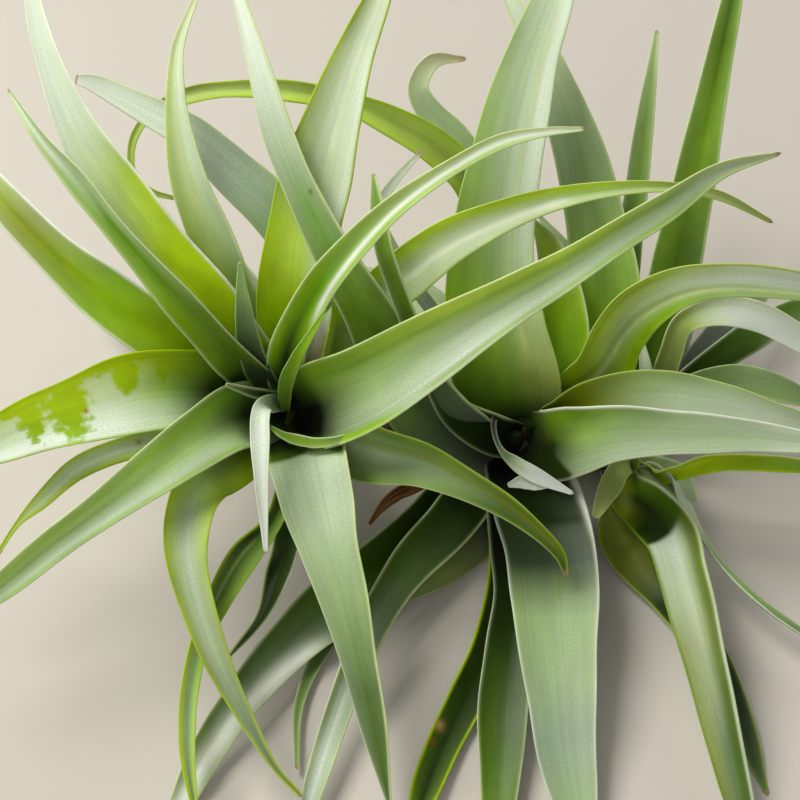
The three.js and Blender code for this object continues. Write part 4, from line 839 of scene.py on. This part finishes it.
leaf("right", 9, "leaf_deep", bend=(80, 44), rim=("lime", 0.5, 0.5),
     stations=[(66, -23, -73, 8), (66.5, -32, -63, 10.5), (66, -41, -55, 12.6), (72, -50, -48, 12),
               (80.5, -59, -41, 10.6), (89, -70, -34, 9.6), (96.8, -83.1, -24, 8.3),
               (103.6, -100, -14, 6.7), (110, -118, -4, 1)],
     flesh="moss olive olive moss moss moss fern",
     bloom=[0, 0.05, 0, (0.05, 0.03, 0.05), (0.1, 0.08, 0.1)])
back_leaf("right", 10,
          [(70.6, -12, -75, 9), (75.6, 5, -81, 12), (80.6, 19, -88, 12.6), (83.6, 30, -96, 12),
           (86, 39, -106, 9), (87.6, 45, -116, 1)])
back_leaf("right", 11,
          [(73.6, -13, -75, 8), (83.4, 2, -78, 10), (94, 16, -83, 10.4), (101.6, 26, -90, 9),
           (108, 33, -99, 6.4), (113, 37, -107, 1)])

# ---- hearts ----
# In the middle of each rosette a bud stands on the stem's crown, with the youngest leaves round it,
# some of them still rolled or pale. In the middle rosette one was torn, and its white tip stands out.

CROWNS = {
    "left": ((-32.5, -1, -77), (-32.5, -1, -50)),
    "middle": ((34, -11, -82), (34, -11, -62)),
    "right": ((68, -18, -77), (68, -18, -64)),
}
CROWN_RADIUS = 5.5      # mm, at the crown's foot
CROWN_TOP_RADIUS = 2.6  # mm
BUD_LENGTH = 12         # mm
BUD_ROUND = 16          # mm round its foot


def tube(spine, radii, sides, lumps=0, seed=0):
    """Rings of points round a spine: at each place a circle of its radius, square to the spine, whose
    radius swells and sinks by lumps in a few seeded waves round and along."""
    heading = unit(np.gradient(spine, axis=0))
    level = unit(np.cross(heading, FACE_OUT + 0.01))
    facing = np.cross(level, heading)
    angle = np.linspace(0, 2 * np.pi, sides, endpoint=False)[None, :]
    rng = np.random.default_rng(seed)
    phase = rng.uniform(0, 2 * np.pi, 8)
    run = np.linspace(0, 1, len(spine))[:, None]
    wave = (np.sin(3 * angle + 17 * run + phase[0]) + np.sin(5 * angle - 29 * run + phase[1])
            + np.sin(2 * angle + 41 * run + phase[2])) / 3
    radius = np.asarray(radii)[:, None] * (1 + lumps * wave)
    return (spine[:, None] + (radius * np.cos(angle))[..., None] * level[:, None]
            - (radius * np.sin(angle))[..., None] * facing[:, None])


def joined(name, meshes):
    """One mesh of several, with their materials, maps and painted values kept."""
    parts = []
    for mesh in meshes:
        part = bpy.data.objects.new(mesh.name, mesh)
        bpy.context.scene.collection.objects.link(part)
        parts.append(part)
    with bpy.context.temp_override(active_object=parts[0], selected_editable_objects=parts):
        bpy.ops.object.join()
    whole = parts[0].data
    bpy.data.objects.remove(parts[0])
    whole.name = name
    return whole


def bud_mesh(crown):
    """A bud: a slim cone of rolled leaf on the crown, rounded at its top."""
    run = np.linspace(0, 1, 25)
    top = place(np.array([CROWNS[crown][1]], float))[0]
    spine = top + np.outer(run * BUD_LENGTH * MM, FACE_OUT)
    radii = CROWN_TOP_RADIUS * MM * np.sqrt(np.maximum(1 - run ** 1.7, 0.01))
    mesh = skin_mesh("bud", tube(spine, radii, 24), np.linspace(0, BUD_ROUND, 25), run * BUD_LENGTH)
    count = len(mesh.vertices)
    paint(mesh, "flesh", np.tile(linear(FLESH["moss"]), (count, 1)))
    paint(mesh, "bloom", np.zeros(count))
    paint(mesh, "worn", np.zeros(count))
    return mesh


def heart(rosette, slot, **young_leaves):
    """A rosette's bud and its youngest leaves as one piece, in place of its solid."""
    node_name = rosette + "_heart"
    seed = 300 + 10 * list(CROWNS).index(rosette)
    meshes = [bud_mesh(rosette)]
    for k, (name, shape) in enumerate(young_leaves.items()):
        meshes.append(leaf_mesh(name, seed + k, dry=0, steps=70, **shape))
    new_piece(node_name + "_leaves", joined(node_name, meshes), LEAF_SKIN, slot, node_name)


heart("left", "leaf_pale",
      upright=dict(bend=(90, 40), roll=(10, 0), crease=0.4, rim=("leaf", 0.4, 0.4),
                   stations=[(-36, 1, -44, 4), (-41, 6, -20, 7.4), (-45, 16, -5, 6.8), (-47, 28, 1, 4.4),
                             (-48, 41, 3, 0.9)],
                   flesh="moss moss fern leaf",
                   bloom=[0, 0.05, (0.2, 0.12, 0.2)]),
      drooping=dict(bend=(90, 50), crease=0.4, rim=("white", 0.7, 0.7),
                    stations=[(-34, -1, -44, 4), (-38, -1, -18, 5), (-41.5, -3, -1, 5), (-42, -12, 5, 5.2),
                              (-41.4, -27, 6, 3.4), (-40.3, -45, 2, 1)],
                    flesh="fern leaf leaf sage white",
                    bloom=[0.3, 0.8, (0.9, 1, 0.9), 1]),
      lip=dict(bend=(50, 40), roll=(-30, -20), rim=("pale", 0.3, 0.7),
               stations=[(-38.8, -8.2, -20, 1), (-34.8, -10.7, -17, 2.4), (-30.4, -12, -14, 3.2),
                         (-25.4, -12.8, -11, 3), (-19.6, -12.2, -8, 2.4), (-14.6, -10.4, -7, 1)],
               flesh="leaf vivid vivid leaf",
               bloom=[0, (0.1, 0.05, 0.1), (0.1, 0.1, 0.2)]),
      stalk=dict(bend=(60, 50), crease=0.4, rim=("leaf", 0.5, 0.5),
                 stations=[(-34.2, -3.4, -22, 1.6), (-34.6, 1, -14, 3.4), (-33.8, 6.4, -6, 4),
                           (-31, 12.6, 1, 3.2), (-27.6, 18.4, 5, 2.2), (-23.4, 25, 7, 1.2),
                           (-20.4, 29.4, 7, 0.6)],
                 flesh="fern leaf vivid vivid",
                 bloom=[0, 0, (0.1, 0, 0.1)]),
      sheath=dict(bend=(50, 40), rim=("glow", 0, 1),
                  stations=[(-28, 7, -30, 5), (-26.4, 13, -21, 6.4), (-24.4, 20.5, -14, 6),
                            (-22.6, 27, -9, 4.4), (-21.4, 33, -6, 1)],
                  flesh="brown straw straw white white",
                  bloom=[0, (0.2, 0.4, 0.1), (0.5, 0.8, 0.3), (0.6, 0.9, 0.6)]),
      pointed=dict(bend=(60, 40), crease=0.4, rim=("pale", 0.5, 0.8),
                   stations=[(-34, 0, -40, 3), (-38, 1, -20, 3.4), (-45, 2.5, -8, 2.6), (-52, 4.6, -2, 1)],
                   flesh="moss moss fern",
                   bloom=[0, 0, 0.1]))
heart("middle", "leaf_pale",
      torn=dict(bend=(60, 44), rim=("white", 0.1, 0.1),
                stations=[(32, -6.5, -52, 2.4), (28.6, -5.4, -42, 1.6), (28.2, -9.4, -35, 1.2),
                          (30.4, -15, -29.6, 1.4), (34.8, -19, -27, 3.6), (41, -22.8, -26, 4.2),
                          (51.4, -27.8, -26, 1)],
                flesh="well well well moss fern sage white white",
                bloom=[0, 0, 0, (0.12, 0.08, 0.12), (1, 0.6, 1), 1]),
      barb=dict(bend=(60, 44), rim=("white", 0.8, 0.8),
                stations=[(45, -25.4, -26.6, 1.6), (41.6, -24.6, -26.8, 4.4), (37.6, -24.4, -27, 4.2),
                          (34.6, -25, -27.2, 2.4), (32.4, -25.6, -27.4, 1)],
                flesh="white sage sage",
                bloom=[1, 0.9]))
heart("right", "leaf_olive",
      olive=dict(bend=(60, 44), rim=("lime", 0.3, 0.3),
                 stations=[(67, -20, -58, 5), (69, -18.6, -48, 6), (66, -20.6, -40, 6),
                           (62.4, -27, -36, 6), (58.6, -35, -34, 2)],
                 flesh="moss olive olive olive",
                 bloom=[0, 0.1, (0.2, 0.15, 0.2)]),
      pale=dict(bend=(60, 44), rim=("pale", 0.5, 0.5),
                stations=[(70, -15, -62, 4), (73, -5, -56, 4.4), (74, 6, -53, 4), (72.4, 18, -52, 1.4)],
                flesh="leaf leaf sage",
                bloom=[0.6, 0.7, 0.7]),
      short=dict(bend=(60, 44), rim=("pale", 0.5, 0.5),
                 stations=[(70, -19, -64, 5), (77, -20.6, -60, 7), (83, -24, -57, 8.6), (87.6, -31, -54, 3)],
                 flesh="olive leaf leaf",
                 bloom=[0.1, 0.3, 0.5]))

# ---- dry leaf ----
# An old leaf under the middle rosette, dead and curled, that still hangs from its crown. It is papery
# and brown, paler on its ridges and painted darker in the grooves between them, partly as shade.


DRY_LEAF = [            # mm across, up and out of the face, and mm wide
    (29, -13, -78, 4), (15, -20, -69, 5), (4, -25, -61, 5), (-4, -30, -53, 4), (-9, -37, -47, 1),
]


def fibrous(name, per_mm, detail, coarse, dark, light, lightest, relief_mm, strength, roughness, glow=0):
    """A matt material with fibres along it, so many per mm across and along: its grain is dark in the
    grooves, partly as painted shade, and light on the ridges, which stand out by relief_mm. Glow is the
    share of light that passes through."""
    material = bpy.data.materials.new(name)
    material.use_nodes = True
    tree = material.node_tree
    shader = tree.nodes["Principled BSDF"]
    skin = node(tree, "ShaderNodeUVMap", {"uv_map": "skin"}).outputs["UV"]
    placed = node(tree, "ShaderNodeMapping", Vector=skin, Scale=(*per_mm, 1)).outputs[0]
    fibre = node(tree, "ShaderNodeTexNoise", {"noise_dimensions": "2D"}, Vector=placed, Scale=1.0,
                 Detail=detail, Roughness=coarse).outputs["Fac"]
    # The grain's tone follows its relief, so the grooves carry painted shade.
    tone = node(tree, "ShaderNodeValToRGB", Fac=fibre)
    for stop, at, colour in zip(tone.color_ramp.elements, (0.3, lightest), (dark, light)):
        stop.position = at
        stop.color = (*linear(colour), 1)
    bump = node(tree, "ShaderNodeBump", Strength=strength, Distance=relief_mm * MM, Height=fibre)
    tree.links.new(tone.outputs["Color"], shader.inputs["Base Color"])
    tree.links.new(bump.outputs[0], shader.inputs["Normal"])
    shader.inputs["Roughness"].default_value = roughness
    shader.inputs["Subsurface Weight"].default_value = glow
    shader.inputs["Subsurface Scale"].default_value = 0.001
    return material


# Dead leaf: brown, papery and matt, and light passes through it a little.
DRY_SKIN = fibrous("dead leaf, papery", (1.6, 0.06), detail=4, coarse=0.5, dark="#5a3517", light="#b97d3c",
                   lightest=0.7, relief_mm=0.3, strength=0.6, roughness=0.8, glow=0.2)

rings, along, share, round_mm, walk, width = strap(
    DRY_LEAF, bend=(120, 90), roll=(0, 60), crease=0.5, seed=400, steps=80)
new_piece("dry_leaf_blade", skin_mesh("dry_leaf", rings, round_mm, walk), DRY_SKIN, "dry_leaf", "dry_leaf")

# ---- stem ----
# A short woody stem with a crown under each rosette. It is wrapped in the brown fibres of old leaf
# bases, and its foot is worn flat where the plant rests on it.

STEM_RADIUS = 5         # mm
STEM_LENGTH = 105       # mm
END_SHARE = 0.06        # of its length from the middle, over which each end is rounded off
CROWN_LENGTH = 27       # mm, of the longest crown
CROWN_ROUND = 30        # mm round it
SPOT_LENGTH = 46        # mm, the flat spot under the stem
SPOT_WIDTH = 16         # mm
SPOT_THICK = 5          # mm
SPOT_ROUND = 110        # mm round it
SPOT_PROFILE = [        # share of its thickness, and of its length and width, from the floor up
    (0, 0.985), (0.04, 1), (0.12, 1), (0.3, 0.99), (0.55, 0.97), (0.8, 0.93), (0.94, 0.86), (1, 0.7),
]
STEM_SPINE = [
    (-32.5, -1, -77), (-12, -5, -80), (10, -8, -82), (34, -11, -82), (52, -15, -80), (68, -18, -77),
]

# Fibrous bark: matt brown, with fibres a millimetre or so apart that wrap the stem, painted darker in
# their grooves, partly as shade.
BARK = fibrous("fibrous stem bark", (0.9, 0.12), detail=5, coarse=0.65, dark="#2c2015", light="#8a6a48",
               lightest=0.72, relief_mm=0.6, strength=0.9, roughness=0.85)

run = np.linspace(0, 1, 121)
past_end = np.maximum(np.abs(2 * run - 1) - (1 - END_SHARE), 0)
ends = np.sqrt(np.maximum(1 - past_end ** 2 / END_SHARE ** 2, 0.02))
wood = tube(place(through(STEM_SPINE, run)), STEM_RADIUS * MM * ends, 40, lumps=0.05, seed=5)
wood[..., 2] = np.maximum(wood[..., 2], 0)
stem_meshes = [skin_mesh("wood", wood, np.linspace(0, 2 * np.pi * STEM_RADIUS, 41), run * STEM_LENGTH)]
step = np.linspace(0, 1, 41)
for seed, (foot, top) in enumerate(CROWNS.values()):
    spine = place(np.outer(1 - step, foot) + np.outer(step, top))
    radii = (CROWN_RADIUS + (CROWN_TOP_RADIUS - CROWN_RADIUS) * step) * MM
    crown = tube(spine, radii, 36, lumps=0.04, seed=seed)
    stem_meshes.append(skin_mesh("crown", crown, np.linspace(0, CROWN_ROUND, 37), step * CROWN_LENGTH))
angle = np.linspace(0, 2 * np.pi, 64, endpoint=False)
lump = 1 + 0.02 * np.sin(5 * angle) + 0.015 * np.sin(11 * angle + 1)
height, size = np.array(SPOT_PROFILE).T
spot = np.stack([
    np.outer(size, SPOT_LENGTH / 2 * np.cos(angle) * lump / lump.max()),
    np.outer(size, SPOT_WIDTH / 2 * np.sin(angle) * lump / lump.max()),
    np.outer(height * SPOT_THICK, np.ones(64)),
], axis=-1) * MM
spot_mesh = skin_mesh("spot", spot, np.linspace(0, SPOT_ROUND, 65), height * SPOT_THICK)
spot_mesh.vertices[-2].co = (0, 0, 0)
spot_mesh.vertices[-1].co = (0, 0, SPOT_THICK * MM)
stem_meshes.append(spot_mesh)
new_piece("stem_bark", joined("stem", stem_meshes), BARK, "stem_wood", "stem")

# ---- floor and light ----
# A plain board, painted matt and pale, that the plant rests on. One wide soft light hangs over its
# left side, a little behind, and two weak ones fill the front and the back.

FLOOR_SIZE = 12.0       # m
floor_mesh = bpy.data.meshes.new("floor")
far = FLOOR_SIZE / 2
floor_mesh.from_pydata([(-far, -far, 0), (far, -far, 0), (far, far, 0), (-far, far, 0)], [], [(0, 1, 2, 3)])
floor = bpy.data.objects.new("floor", floor_mesh)
bpy.context.scene.collection.objects.link(floor)
floor_paint = bpy.data.materials.new("matt painted board")  # no shine, so it shows only soft shadows
floor_paint.use_nodes = True
shader = floor_paint.node_tree.nodes["Principled BSDF"]
shader.inputs["Base Color"].default_value = (*linear("#c4beb5"), 1)
shader.inputs["Roughness"].default_value = 0.75
floor_mesh.materials.append(floor_paint)


def soft_light(name, place_m, size, watts, hex_colour):
    """A square area light that faces the plant's middle."""
    data = bpy.data.lights.new(name, "AREA")
    data.size = size
    data.energy = watts
    data.color = linear(hex_colour)
    light = bpy.data.objects.new(name, data)
    light.location = place_m
    aim = np.array([0, -0.02, 0.05]) - np.array(place_m)
    light.rotation_mode = "QUATERNION"
    light.rotation_quaternion = mathutils.Vector(aim).to_track_quat("-Z", "Y")
    bpy.context.scene.collection.objects.link(light)


soft_light("key", (-0.55, 0.2, 0.95), 0.55, 12.7, "#fffdf6")
soft_light("front_fill", (-0.2, -0.9, 0.8), 1.0, 3, "#ffffff")
soft_light("back_fill", (0.6, 0.7, 0.5), 0.8, 3, "#ffffff")
world = bpy.data.worlds.new("studio")
world.use_nodes = True
air = world.node_tree.nodes["Background"]
air.inputs["Color"].default_value = (*linear("#f4f1ea"), 1)
air.inputs["Strength"].default_value = 0.2
bpy.context.scene.world = world
bpy.context.scene.view_settings.view_transform = "Standard"
